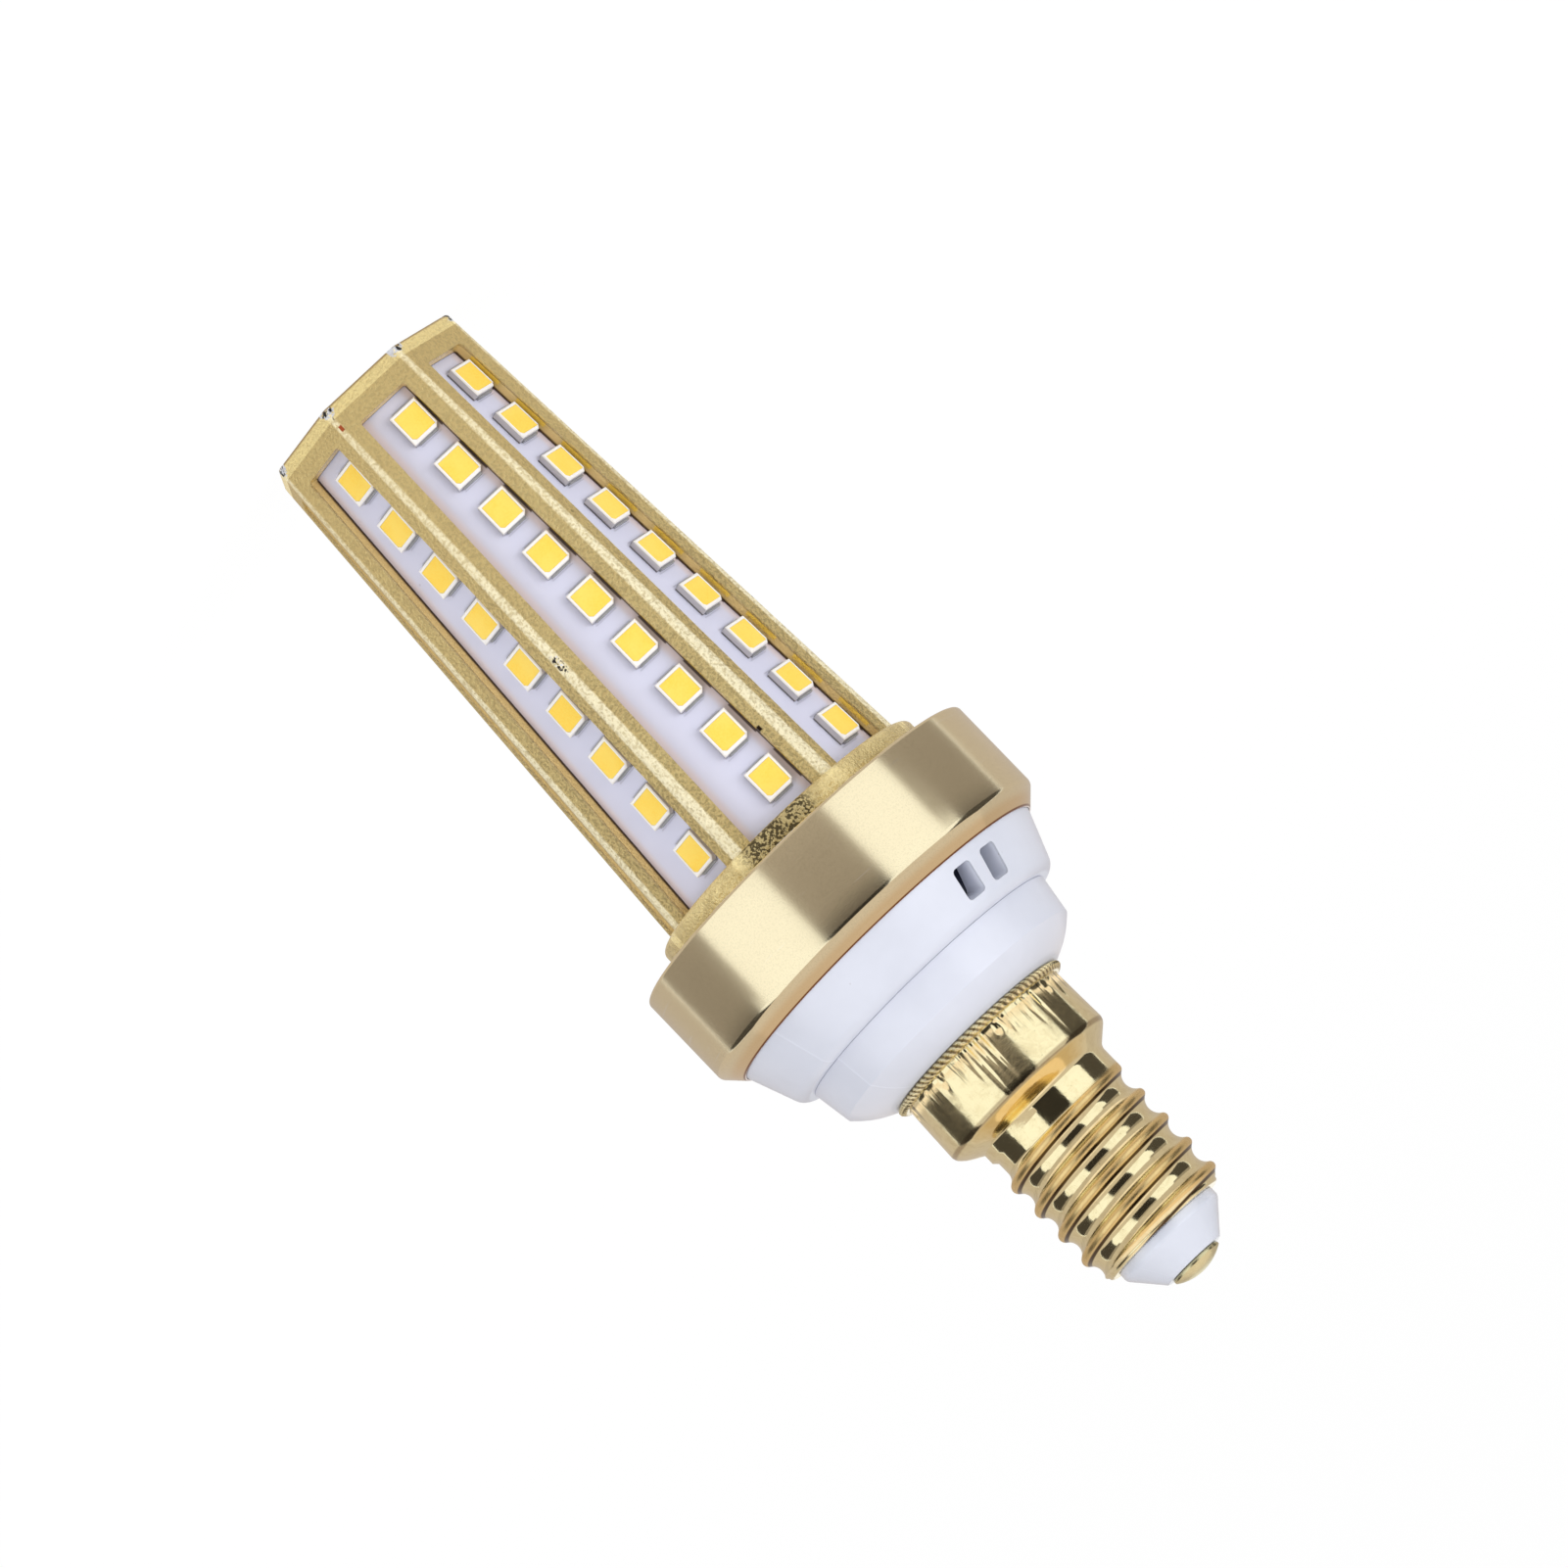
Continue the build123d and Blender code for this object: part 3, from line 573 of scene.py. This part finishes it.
def plain_material(name, colour, rough, metal=0.0, grain_size=0.8):
    """Quiet finish for the parts inside: fine grain, and a slow change of tone."""
    t, place = new_material(name)
    grain = use_group(t, grain_group(), place["Spot"], Grain_size=grain_size)
    tone = t.blend(t.ramp(grain["Patches"], 0.3, 0.7), colour, scaled(colour, 0.82))
    tone = t.blend(t.ramp(grain["Specks"], 0.3, 0.7, 0.0, 0.3), tone, scaled(colour, 1.2))
    rough_now = t.plus(rough - 0.05, t.times(grain["Specks"], 0.1))
    return finished(t, tone, rough_now, metal, grain["Specks"], 0.3, 0.00005)


# Mesh building blocks


def rounded(points, corners, steps=5):
    """Line through (radius, height) points with some corners replaced by arcs."""
    line = []
    for index, point in enumerate(points):
        if index not in corners:
            line.append(point)
            continue
        here = np.array(point, float)
        before = np.array(points[index - 1], float) - here
        after = np.array(points[(index + 1) % len(points)], float) - here
        unit_in = before / np.linalg.norm(before)
        unit_out = after / np.linalg.norm(after)
        half = math.acos(max(-1.0, min(1.0, float(unit_in @ unit_out)))) / 2
        reach = corners[index] / math.tan(half)
        middle = (unit_in + unit_out) / np.linalg.norm(unit_in + unit_out)
        centre = here + middle * corners[index] / math.sin(half)
        first = here + unit_in * reach - centre
        last = here + unit_out * reach - centre
        for step in range(steps + 1):
            share = step / steps
            arm = first * (1 - share) + last * share
            arm = arm / np.linalg.norm(arm) * corners[index]
            line.append(tuple(centre + arm))
    return line


def divided(line, longest):
    """The same line with its long runs divided."""
    result = []
    for start, end in zip(line, line[1:]):
        count = max(1, math.ceil(math.dist(start, end) / longest))
        for step in range(count):
            share = step / count
            result.append((start[0] + (end[0] - start[0]) * share,
                           start[1] + (end[1] - start[1]) * share))
    return result + [line[-1]]


def turned_rings(line, segments, closed, change=None):
    """Vertices and faces of a turned line, with an optional change of radius."""
    verts = []
    faces = []
    for ring, (radius, height) in enumerate(line):
        for step in range(segments):
            angle = math.tau * step / segments
            reach = radius if change is None else change(ring, radius, height, angle)
            verts.append((reach * math.cos(angle) * MM, reach * math.sin(angle) * MM, height * MM))
    count = len(line)
    for ring in range(count if closed else count - 1):
        low = ring * segments
        high = (ring + 1) % count * segments
        for step in range(segments):
            turn = (step + 1) % segments
            faces.append((low + step, low + turn, high + turn, high + step))
    return verts, faces


def turned_skin(points, corners, steps, longest):
    """Vertices and faces of a closed line, turned about the lamp's axis."""
    line = rounded(points, corners, steps)
    return turned_rings(divided(line + [line[0]], longest)[:-1], sizes().segments, True)


def mesh_object(name, verts, faces):
    """Object from plain lists, linked to the scene."""
    mesh = bpy.data.meshes.new(name)
    mesh.from_pydata(verts, [], faces)
    piece = bpy.data.objects.new(name, mesh)
    bpy.context.scene.collection.objects.link(piece)
    return piece


def face_outwards(mesh, weld=0.0):
    """Points a mesh's faces outwards, after welding its doubles where asked."""
    work = bmesh.new()
    work.from_mesh(mesh)
    if weld:
        bmesh.ops.remove_doubles(work, verts=work.verts, dist=weld)
        bmesh.ops.dissolve_degenerate(work, edges=work.edges, dist=weld / 10)
    bmesh.ops.recalc_face_normals(work, faces=work.faces)
    work.to_mesh(mesh)
    work.free()


def smooth_shade(mesh, sharp):
    """Smooth shading, broken at the edges sharper than an angle in degrees."""
    mesh.shade_smooth()
    mesh.set_sharp_from_angle(angle=math.radians(sharp))


def settle(name, verts, faces, material, sharp=35.0):
    """Object from plain lists, welded, facing outwards and smooth between its sharp edges."""
    piece = mesh_object(name, verts, faces)
    face_outwards(piece.data, 1e-7)
    smooth_shade(piece.data, sharp)
    piece.data.materials.append(material)
    return piece


def round_edges(piece, label, width, sharpest):
    """Joins a piece's facets, then bevels the edges sharper than an angle in degrees."""
    piece.modifiers.new("Join the facets", "WELD").merge_threshold = 1e-6
    bevel = piece.modifiers.new(label, "BEVEL")
    bevel.width = width
    bevel.segments = 2
    bevel.limit_method = "ANGLE"
    bevel.angle_limit = math.radians(sharpest)
    return bevel


def seat(piece, slot, *nodes):
    """Makes a piece ride on the lamp in place of its frame nodes."""
    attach(piece, "root")
    if nodes:
        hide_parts(*nodes)
    return piece


def dress(node, material):
    """Gives a frame node its finish."""
    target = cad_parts[node]
    if not target.material_slots:
        target.data.materials.append(material)
    for slot in target.material_slots:
        slot.material = material
    return target


def colour(name):
    return tuple(getattr(bpy.context.scene.lamp_colours, name))


def sizes():
    return bpy.context.scene.lamp_sizes


# Operators, one for each piece or group of like pieces


class LAMP_OT_cage(bpy.types.Operator):
    """Dress the cage with its gold and round its cut edges"""
    bl_idname = "lamp.cage"
    bl_label = "Dress the cage"

    def execute(self, context):
        cage = dress("cage_housing", cage_material(colour("cage_gold")))
        round_edges(cage, "Round the cut edges", sizes().edge_bevel, 40).harden_normals = True
        return {"FINISHED"}


class LAMP_OT_boards(bpy.types.Operator):
    """Dress the LED strips and the boards that join them"""
    bl_idname = "lamp.boards"
    bl_label = "Dress the boards"

    def execute(self, context):
        white = board_material(colour("board_white"))
        strips = [f"led_board_{number}" for number in range(1, FACE_COUNT + 1)]
        for node in ["head_board", "joining_board"] + strips:
            dress(node, white)
        return {"FINISHED"}


class LAMP_OT_leds(bpy.types.Operator):
    """Dress the LED packages, their phosphor and their terminals"""
    bl_idname = "lamp.leds"
    bl_label = "Dress the LEDs"

    def execute(self, context):
        package = package_material(colour("package_white"))
        phosphor = phosphor_material(colour("phosphor"))
        tin = plain_material("Tinned terminal", srgb(186, 188, 190), 0.38, 0.6, 0.3)
        for number in range(1, FACE_COUNT + 1):
            body = dress(f"led_bodies_{number}", package)
            round_edges(body, "Round the moulded edges", 0.00007, 30)
            dress(f"led_phosphor_{number}", phosphor)
            dress(f"led_terminals_{number}", tin)
        return {"FINISHED"}


class LAMP_OT_collar(bpy.types.Operator):
    """Build the turned collar"""
    bl_idname = "lamp.collar"
    bl_label = "Build the collar"

    def execute(self, context):
        straight = COLLAR_LOW + 8.7
        points = [(13.0, COLLAR_LOW), (COLLAR_RADIUS, COLLAR_LOW), (COLLAR_RADIUS, straight),
                  (16.5, COLLAR_TOP), (16.35, COLLAR_TOP), (16.35, COLLAR_LOW + 1.5),
                  (13.0, COLLAR_LOW + 1.5)]
        skin = turned_skin(points, {1: 0.28, 2: 0.65, 3: 0.06}, 7, 2.5)
        collar = settle("collar", *skin, collar_material(colour("collar_gold")))
        seat(collar, "collar_gold", "collar_ring")
        return {"FINISHED"}


def vent_box(angle):
    """Rounded slot cutter, square to the upper cone."""
    slope = math.atan(CONE_SLOPE)
    middle = 0.95 + 1.5 * math.cos(slope)
    radius = CONE_FOOT - middle * CONE_SLOPE
    side = Vector((math.cos(angle), math.sin(angle), 0))
    out = side * math.cos(slope) + Vector((0, 0, math.sin(slope)))
    down = side * math.sin(slope) - Vector((0, 0, math.cos(slope)))
    across = out.cross(down)
    origin = side * radius + Vector((0, 0, COLLAR_TOP + middle))
    outline = []
    for x, y, start in ((1.1, 0.625, 0), (-1.1, 0.625, 90), (-1.1, -0.625, 180), (1.1, -0.625, 270)):
        for step in range(5):
            turn = math.radians(start + step * 22.5)
            outline.append((x + 0.4 * math.cos(turn), y + 0.4 * math.sin(turn)))
    verts = []
    for depth in (-3.3, 3.3):
        verts += [(origin + down * x + across * y + out * depth) * MM for x, y in outline]
    count = len(outline)
    faces = [tuple(range(count)), tuple(reversed(range(count, 2 * count)))]
    faces += [(i, count + i, count + (i + 1) % count, (i + 1) % count) for i in range(count)]
    return verts, [tuple(reversed(face)) for face in faces]


def cut(piece, cutters):
    """Cuts plain closed cutters out of a piece, then drops them."""
    verts = []
    faces = []
    for part_verts, part_faces in cutters:
        faces += [tuple(len(verts) + index for index in face) for face in part_faces]
        verts += [tuple(vert) for vert in part_verts]
    cutter = mesh_object("cutter", verts, faces)
    shell = cutter.data
    face_outwards(shell)
    change = piece.modifiers.new("Cut", "BOOLEAN")
    change.operation = "DIFFERENCE"
    change.solver = "EXACT"
    change.object = cutter
    graph = bpy.context.evaluated_depsgraph_get()
    result = bpy.data.meshes.new_from_object(piece.evaluated_get(graph))
    piece.modifiers.clear()
    old = piece.data
    result.name = old.name
    piece.data = result
    bpy.data.meshes.remove(old)
    bpy.data.objects.remove(cutter)
    bpy.data.meshes.remove(shell)


class LAMP_OT_housings(bpy.types.Operator):
    """Build the white housings with their slots, parting line and mould seams"""
    bl_idname = "lamp.housings"
    bl_label = "Build the housings"

    def execute(self, context):
        white = plastic_material("Housing white", colour("housing_white"),
                                 rough=0.34, coat=0.12, dust=0.6)
        self.upper(white)
        self.lower(white)
        return {"FINISHED"}

    def upper(self, white):
        low = UPPER_BOX[0].z / MM
        plug = PARTING - 2.1
        points = [(CONE_FOOT, low), (CONE_FOOT, COLLAR_TOP), (14.4, PARTING),
                  (12.06, PARTING), (12.06, plug),
                  (12.3, plug), (14.2, COLLAR_TOP), (14.2, low)]
        upper = settle("housing_upper", *turned_skin(points, {1: 0.25, 2: 1.3, 3: 0.15}, 9, 3.0), white)
        turns = [VENT_SIDE + side + step for side in (0, 180) for step in (-6.3, 6.3)]
        cut(upper, [vent_box(math.radians(turn)) for turn in turns])
        smooth_shade(upper.data, 35)
        seat(upper, "housing_white", "upper_housing")

    def lower(self, white):
        low = LOWER_BOX[0].z / MM
        top = LOWER_BOX[1].z / MM
        rim = PARTING + 3.5
        rim_radius = 12.65
        points = [(12.0, low), (12.0, PARTING + 0.01), (13.2, PARTING + 0.01), (rim_radius, rim)]
        for share in (0.2, 0.4, 0.6, 0.8):
            bulge = math.sin(math.pi * share)
            points.append((rim_radius - 3.3 * share + 0.124 * bulge,
                           rim + 2.25 * share + 0.182 * bulge))
        points += [(9.35, CAP_BASE), (8.05, CAP_BASE), (8.05, top), (6.95, top), (6.95, CAP_BASE - 1.1),
                   (11.0, rim), (10.9, PARTING + 1.1), (10.9, low)]
        lower = settle("housing_lower", *turned_skin(points, {2: 0.06, 3: 0.16}, 5, 3.0), white, 40)
        seat(lower, "housing_white", "lower_housing")


def eased(share):
    """Smooth step from 0 to 1, held at both ends."""
    share = max(0.0, min(1.0, share))
    return share * share * (3 - 2 * share)


def apart(first, second):
    """Smaller angle between two directions."""
    return abs((first - second + math.pi) % math.tau - math.pi)


def thread_height(angle, height, rise, pitch):
    """Height of the rolled thread over its root, in millimetres: a tight crest and a wide valley."""
    turns = (height - THREAD_FIRST) / pitch - (angle % math.tau) / math.tau
    away = abs(turns - round(turns)) * pitch
    slant = 2 * math.atan(rise / (pitch / 2))
    bends = pitch / 2 / math.sin(slant)
    crest_bend = bends * 0.27
    valley_bend = bends - crest_bend
    if away < crest_bend * math.sin(slant):
        return rise - (crest_bend - math.sqrt(crest_bend ** 2 - away ** 2))
    return valley_bend - math.sqrt(valley_bend ** 2 - (pitch / 2 - away) ** 2)


def draw_marks():
    """Angle, width, sense and length of the draw marks on the cap's skirt."""
    rng = random.Random(7)
    marks = [(rng.uniform(0, math.tau), rng.uniform(0.012, 0.035), rng.uniform(-1.0, 0.7),
              rng.uniform(0.7, 2.8)) for _ in range(46)]
    deep = ((42, 3.0), (35, 2.2), (17, 1.6), (1, 3.4), (-4, 2.4), (-9, 3.0), (-14, 2.2))
    return marks + [(math.radians(CAMERA_SIDE - off), 0.016, -1.3, length) for off, length in deep]


class LAMP_OT_screw_cap(bpy.types.Operator):
    """Build the screw cap with its rope knurl, draw marks, punch marks and rolled thread"""
    bl_idname = "lamp.screw_cap"
    bl_label = "Build the screw cap"

    def execute(self, context):
        given = sizes()
        marks = draw_marks()
        punched = [math.radians(CAMERA_SIDE - 11 + 45 * index) for index in range(8)]
        teeth = given.knurl_teeth
        knurl = given.knurl_depth / MM
        depth = given.wrinkle_depth / MM
        pitch = given.thread_pitch / MM
        root = given.thread_root / MM
        rise = given.thread_crest / MM - root
        neck = 6.9
        rim = 0.9
        rim_start = SHELL_TOP - rim

        def knurled(above, angle):
            share = max(0.0, 1.0 - abs(above - 0.42) / 0.46)
            wave = math.cos(teeth * angle + above * KNURL_TWIST)
            return knurl * (wave - 1) * 0.5 * share ** 0.5

        def marked(above, angle):
            change = 0.0
            for where, width, sense, length in marks:
                gap = apart(angle, where)
                if gap < width * 3:
                    change += depth * sense * math.exp(-(gap / width) ** 2
                                                       - ((above - 0.75) / length) ** 2)
            for where in punched:
                gap = math.hypot(apart(angle, where) * 8.5, above - 1.62)
                if gap < 0.7:
                    change -= 0.16 * math.exp(-(gap / 0.26) ** 2)
                    change += 0.03 * math.exp(-((gap - 0.42) / 0.12) ** 2)
            return change

        def threaded(radius, height, angle):
            """Thread over a neck that falls from the crest to the root round the cap."""
            wound = THREAD_FIRST + (angle % math.tau) / math.tau * pitch
            begun = eased((wound - CAP_BASE - 8.85) / 0.75)
            neck_here = root + rise * begun * eased((CAP_BASE + 11.6 - wound) / 1.3)
            if height <= CAP_BASE + 8.35:
                return radius - (neck - neck_here) * eased((height - SKIRT_TOP - 0.5) / 1.5)
            reach = root
            if height > wound - pitch / 2:
                started = begun if height < wound + pitch / 2 else 1.0
                reach += thread_height(angle, height, rise, pitch) * started
            return max(reach, neck_here) if height < wound else reach

        def shape(ring, radius, height, angle):
            above = height - CAP_BASE
            if ring >= count:
                return radius
            if above < 0.95:
                return radius + knurled(above, angle)
            if height < SKIRT_TOP:
                return radius + marked(above, angle)
            reach = threaded(radius, height, angle) if height > SKIRT_TOP else radius
            if height > rim_start:
                left = max(0.0, SHELL_TOP - height)
                rolled = max(0.0, min(1.0, 1 - left / 0.3))
                reach = min(reach, root + rise * eased((left - 0.3) / 0.6))
                reach -= 0.4 * (1 - math.sqrt(1 - rolled ** 2))
            return reach

        points = [(8.1, 0.05), (9.02, 0.05), (9.25, 0.25), (9.25, 0.5), (8.95, 0.78), (8.5, 0.84),
                  (8.45, 1.0), (8.62, 6.35), (neck, 7.95), (neck, 8.75)]
        points = [(radius, CAP_BASE + above) for radius, above in points]
        line = rounded(points, {2: 0.16, 3: 0.16, 5: 0.12, 7: 0.95, 8: 0.8}, 7)
        low = CAP_BASE + 8.75
        rows = math.ceil((rim_start - low) / 0.09)
        outer = divided(line, 0.3)
        outer += [(root, low + (rim_start - low) * row / rows) for row in range(1, rows)]
        outer += [(root, rim_start + rim * math.sin(math.pi / 2 * step / 13)) for step in range(14)]
        inner = [(root - 0.95, SHELL_TOP - 0.02), (root - 0.95, SHELL_TOP - 0.35),
                 (5.7, SHELL_TOP - 0.8),
                 (5.7, CAP_BASE + 9.5), (6.5, CAP_BASE + 8.7), (6.5, CAP_BASE + 7.7),
                 (8.22, SKIRT_TOP - 0.1), (8.1, CAP_BASE + 0.5)]
        count = len(outer)
        verts, faces = turned_rings(outer + inner, given.shell_segments, True, shape)
        cap = settle("screw_cap", verts, faces, plate_material(colour("cap_plate"), pitch, teeth), 50)
        seat(cap, "cap_brass", "screw_shell")
        return {"FINISHED"}


class LAMP_OT_tip(bpy.types.Operator):
    """Build the tip insulator and the domed centre contact"""
    bl_idname = "lamp.tip"
    bl_label = "Build the tip"

    def execute(self, context):
        low = SHELL_TOP + 0.05
        points = [(0.8, low - 1.6), (5.15, low - 1.6), (5.15, low), (5.25, low), (5.25, low + 0.8),
                  (2.95, TIP_TOP), (0.8, TIP_TOP)]
        glaze = plastic_material("Tip glaze", colour("insulator"), rough=0.2, coat=0.3, dust=0.2)
        tip = settle("tip", *turned_skin(points, {4: 0.55, 5: 0.25}, 7, 1.5), glaze, 40)
        seat(tip, "insulator_white", "tip_insulator")
        self.contact()
        return {"FINISHED"}

    def contact(self):
        base = TIP_TOP + 0.05
        stem = CONTACT_BOX[0].z / MM
        radius = 2.5
        segments = 144
        rise = CONTACT_TOP - base - 0.3
        sphere = (radius ** 2 + rise ** 2) / (2 * rise)
        dome = [(radius * math.cos(step * math.pi / 24), 0) for step in range(12)]
        dome = [(reach, CONTACT_TOP - sphere + math.sqrt(sphere ** 2 - reach ** 2))
                for reach, _ in dome]
        line = [(0.75, stem), (0.75, base), (radius - 0.08, base),
                (radius, base + 0.1), (radius, base + 0.22)]
        line += [(reach * 0.995, height) for reach, height in dome]
        rng = random.Random(3)
        lumps = [(rng.uniform(0, math.tau), rng.uniform(0.1, 0.22),
                  rng.uniform(-0.12, 0.05)) for _ in range(11)]

        def dented(ring, reach, height, angle):
            if height < base + 0.05 or reach < 1.0:
                return reach
            for where, width, amount in lumps:
                reach += amount * math.exp(-(apart(angle, where) / width) ** 2) * (reach / radius) ** 6
            return min(reach, radius)

        verts, faces = turned_rings(line, segments, False, dented)
        foot = len(verts)
        last = foot - segments
        verts += [(0, 0, stem * MM), (0, 0, CONTACT_TOP * MM)]
        for step in range(segments):
            turn = (step + 1) % segments
            faces += [(foot, turn, step), (last + step, last + turn, foot + 1)]
        solder = plain_material("Contact metal", srgb(227, 219, 175), 0.3, 1.0, 0.35)
        seat(settle("contact", verts, faces, solder, 40), "cap_brass", "centre_contact")


class LAMP_OT_driver(bpy.types.Operator):
    """Dress the driver board, its components and the leads inside the housing"""
    bl_idname = "lamp.driver"
    bl_label = "Dress the driver"

    def execute(self, context):
        finishes = [
            (plain_material("Bare laminate", srgb(196, 172, 104), 0.5), ["driver_board"]),
            (plain_material("Capacitor sleeve", srgb(36, 38, 56), 0.35), ["smoothing_capacitor"]),
            (plain_material("Film box", srgb(196, 92, 34), 0.4), ["film_capacitor"]),
            (plain_material("Moulded black", srgb(28, 28, 30), 0.5),
             ["driver_chip", "bridge_rectifier", "inductor"]),
            (plain_material("Resistor coat", srgb(92, 142, 120), 0.5), ["surge_resistor"]),
            (plain_material("Lead sleeve", srgb(232, 230, 224), 0.45),
             ["output_wire_1", "output_wire_2", "contact_wire", "shell_wire"]),
        ]
        for material, nodes in finishes:
            for node in nodes:
                dress(node, material)
        return {"FINISHED"}


class LAMP_OT_stage(bpy.types.Operator):
    """Set the camera, the pale floor, the soft lamps and the reflecting cards"""
    bl_idname = "lamp.stage"
    bl_label = "Set the stage"

    def execute(self, context):
        scene = context.scene
        scene.view_settings.view_transform = "Standard"
        self.camera(scene)
        self.world(scene)
        self.floor()
        self.cards()
        self.lamps(scene)
        return {"FINISHED"}

    def camera(self, scene):
        data = bpy.data.cameras.new("view")
        data.sensor_width = 36.0
        data.lens = 226.147
        data.clip_end = 50.0
        camera = bpy.data.objects.new("view", data)
        camera.location = (0.077374, -0.816263, 0.157383)
        camera.rotation_euler = (math.radians(-79.52459), math.radians(-43.51421),
                                 math.radians(178.36975))
        scene.collection.objects.link(camera)
        scene.camera = camera

    def seen_by_eye(self, t):
        """One for rays that show the background: seen directly, in metal and through glass."""
        path = t.add("ShaderNodeLightPath").outputs
        both = t.math("MAXIMUM", path["Is Camera Ray"], path["Is Glossy Ray"])
        return t.math("MAXIMUM", both, path["Is Transmission Ray"])

    def world(self, scene):
        world = bpy.data.worlds.new("studio")
        t = bare_tree(world)
        strength = t.math("ADD", t.math("MULTIPLY", self.seen_by_eye(t), 0.42), 0.58)
        back = t.add("ShaderNodeBackground", {"Color": (1, 1, 1, 1), "Strength": strength})
        t.add("ShaderNodeOutputWorld", {"Surface": back.outputs[0]})
        scene.world = world

    def floor(self):
        corners = [(-12, -12, 0), (12, -12, 0), (12, 12, 0), (-12, 12, 0)]
        floor = mesh_object("floor", corners, [(0, 1, 2, 3)])
        material = bpy.data.materials.new("Floor")
        t = bare_tree(material)
        paint = t.add("ShaderNodeBsdfDiffuse", {"Color": (0.9, 0.9, 0.9, 1)})
        glow = t.add("ShaderNodeEmission", {"Color": (1, 1, 1, 1), "Strength": 1.02})
        share = t.math("MULTIPLY", self.seen_by_eye(t), 0.95)
        mixed = t.add("ShaderNodeMixShader", {0: share, 1: paint.outputs[0], 2: glow.outputs[0]})
        t.add("ShaderNodeOutputMaterial", {"Surface": mixed.outputs[0]})
        floor.data.materials.append(material)

    def cards(self):
        """Studio cards that only show as reflections: a low ring for the collar, a high one for the
        cap, a disc below and above, and a small pair for the slopes of the cap."""
        low = (0.002, 0.046)
        high = (0.046, 0.23)
        bands = (("front", -22.0, 24.0, low, 0.38), ("left", 65.0, 116.0, low, 0.31),
                 ("right", -116.0, -70.0, low, 0.3), ("far_left", 118.0, 172.0, low, 0.53),
                 ("far_right", -172.0, -118.0, low, 0.5),
                 ("cap_front", -22.0, 24.0, high, 0.03), ("cap_left", 76.0, 116.0, high, 0.07),
                 ("cap_right", -116.0, -76.0, high, 0.06), ("cap_far_left", 118.0, 172.0, high, 0.54),
                 ("cap_far_right", -172.0, -118.0, high, 0.56))
        for label, start, end, heights, shade in bands:
            steps = 16
            turns = [start + (end - start) * step / steps for step in range(steps + 1)]
            verts = [self.card_point(0.2, turn, height) for turn in turns for height in heights]
            faces = [(2 * i, 2 * i + 1, 2 * i + 3, 2 * i + 2) for i in range(steps)]
            self.card(label, verts, faces, shade)
        for label, height, shade in (("below", 0.0012, 0.55), ("above", 0.23, 0.62)):
            verts = [self.card_point(0.205, 360 * step / 64, height) for step in range(64)]
            self.card(label, verts, [tuple(range(64))], shade)
        for label, radii, height, shade in (("cap_below", (0.0098, 0.0165), 0.0752, 0.95),
                                            ("cap_above", (0.0005, 0.021), 0.12, 0.95)):
            verts = [self.card_point(radius, 7.5 * step, height)
                     for step in range(48) for radius in radii]
            faces = [(2 * i, 2 * i + 1, (2 * i + 3) % 96, (2 * i + 2) % 96) for i in range(48)]
            self.card(label, verts, faces, shade)

    def card_point(self, radius, turn, height):
        """Point at an angle from the camera's side of the lamp."""
        angle = math.radians(5.41 - turn) - math.pi / 2
        return (radius * math.cos(angle), radius * math.sin(angle), height)

    def card(self, label, verts, faces, shade):
        """One glowing card that only metal and gloss can see."""
        card = mesh_object("card_" + label, verts, faces)
        material = bpy.data.materials.new("Card " + label)
        t = bare_tree(material)
        glow = t.add("ShaderNodeEmission", {"Color": (shade, shade * 0.88, shade * 0.79, 1),
                                            "Strength": 1.0})
        t.add("ShaderNodeOutputMaterial", {"Surface": glow.outputs[0]})
        card.data.materials.append(material)
        card.visible_camera = False
        card.visible_diffuse = False
        card.visible_shadow = False
        card.visible_transmission = False

    def lamps(self, scene):
        """Three broad soft lamps at a plain level."""
        for label, place, size, power in (("key", (-0.75, -0.85, 0.45), 0.9, 6.9),
                                          ("fill", (0.9, -0.7, 0.3), 0.9, 5.1),
                                          ("top", (0.0, 0.1, 1.2), 1.0, 1.6)):
            light = bpy.data.lights.new(label, "AREA")
            light.shape = "DISK"
            light.size = size
            light.energy = power
            lamp = bpy.data.objects.new(label, light)
            lamp.location = place
            aim = Vector((0, 0, 0.05)) - Vector(place)
            lamp.rotation_euler = aim.to_track_quat("-Z", "Y").to_euler()
            lamp.visible_glossy = False
            scene.collection.objects.link(lamp)


class LAMP_PT_panel(bpy.types.Panel):
    """The lamp's settings and its build steps"""
    bl_idname = "LAMP_PT_panel"
    bl_label = "Corn Lamp"
    bl_space_type = "VIEW_3D"
    bl_region_type = "UI"
    bl_category = "Corn Lamp"

    def draw(self, context):
        for title, group in (("Sizes", context.scene.lamp_sizes),
                             ("Colours", context.scene.lamp_colours)):
            box = self.layout.box()
            box.label(text=title)
            for name in group.__annotations__:
                box.prop(group, name)
        for step in STEPS:
            self.layout.operator(step.bl_idname)


STEPS = (LAMP_OT_cage, LAMP_OT_boards, LAMP_OT_leds, LAMP_OT_collar, LAMP_OT_housings,
         LAMP_OT_screw_cap, LAMP_OT_tip, LAMP_OT_driver, LAMP_OT_stage)
CLASSES = (LampSizes, LampColours, *STEPS, LAMP_PT_panel)


def register():
    for item in CLASSES:
        bpy.utils.register_class(item)
    bpy.types.Scene.lamp_sizes = PointerProperty(type=LampSizes)
    bpy.types.Scene.lamp_colours = PointerProperty(type=LampColours)


def unregister():
    del bpy.types.Scene.lamp_colours
    del bpy.types.Scene.lamp_sizes
    for item in reversed(CLASSES):
        bpy.utils.unregister_class(item)


def main():
    register()
    for step in ("cage", "boards", "leds", "collar", "housings", "screw_cap", "tip", "driver", "stage"):
        getattr(bpy.ops.lamp, step)()
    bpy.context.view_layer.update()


if __name__ == "__main__":
    main()
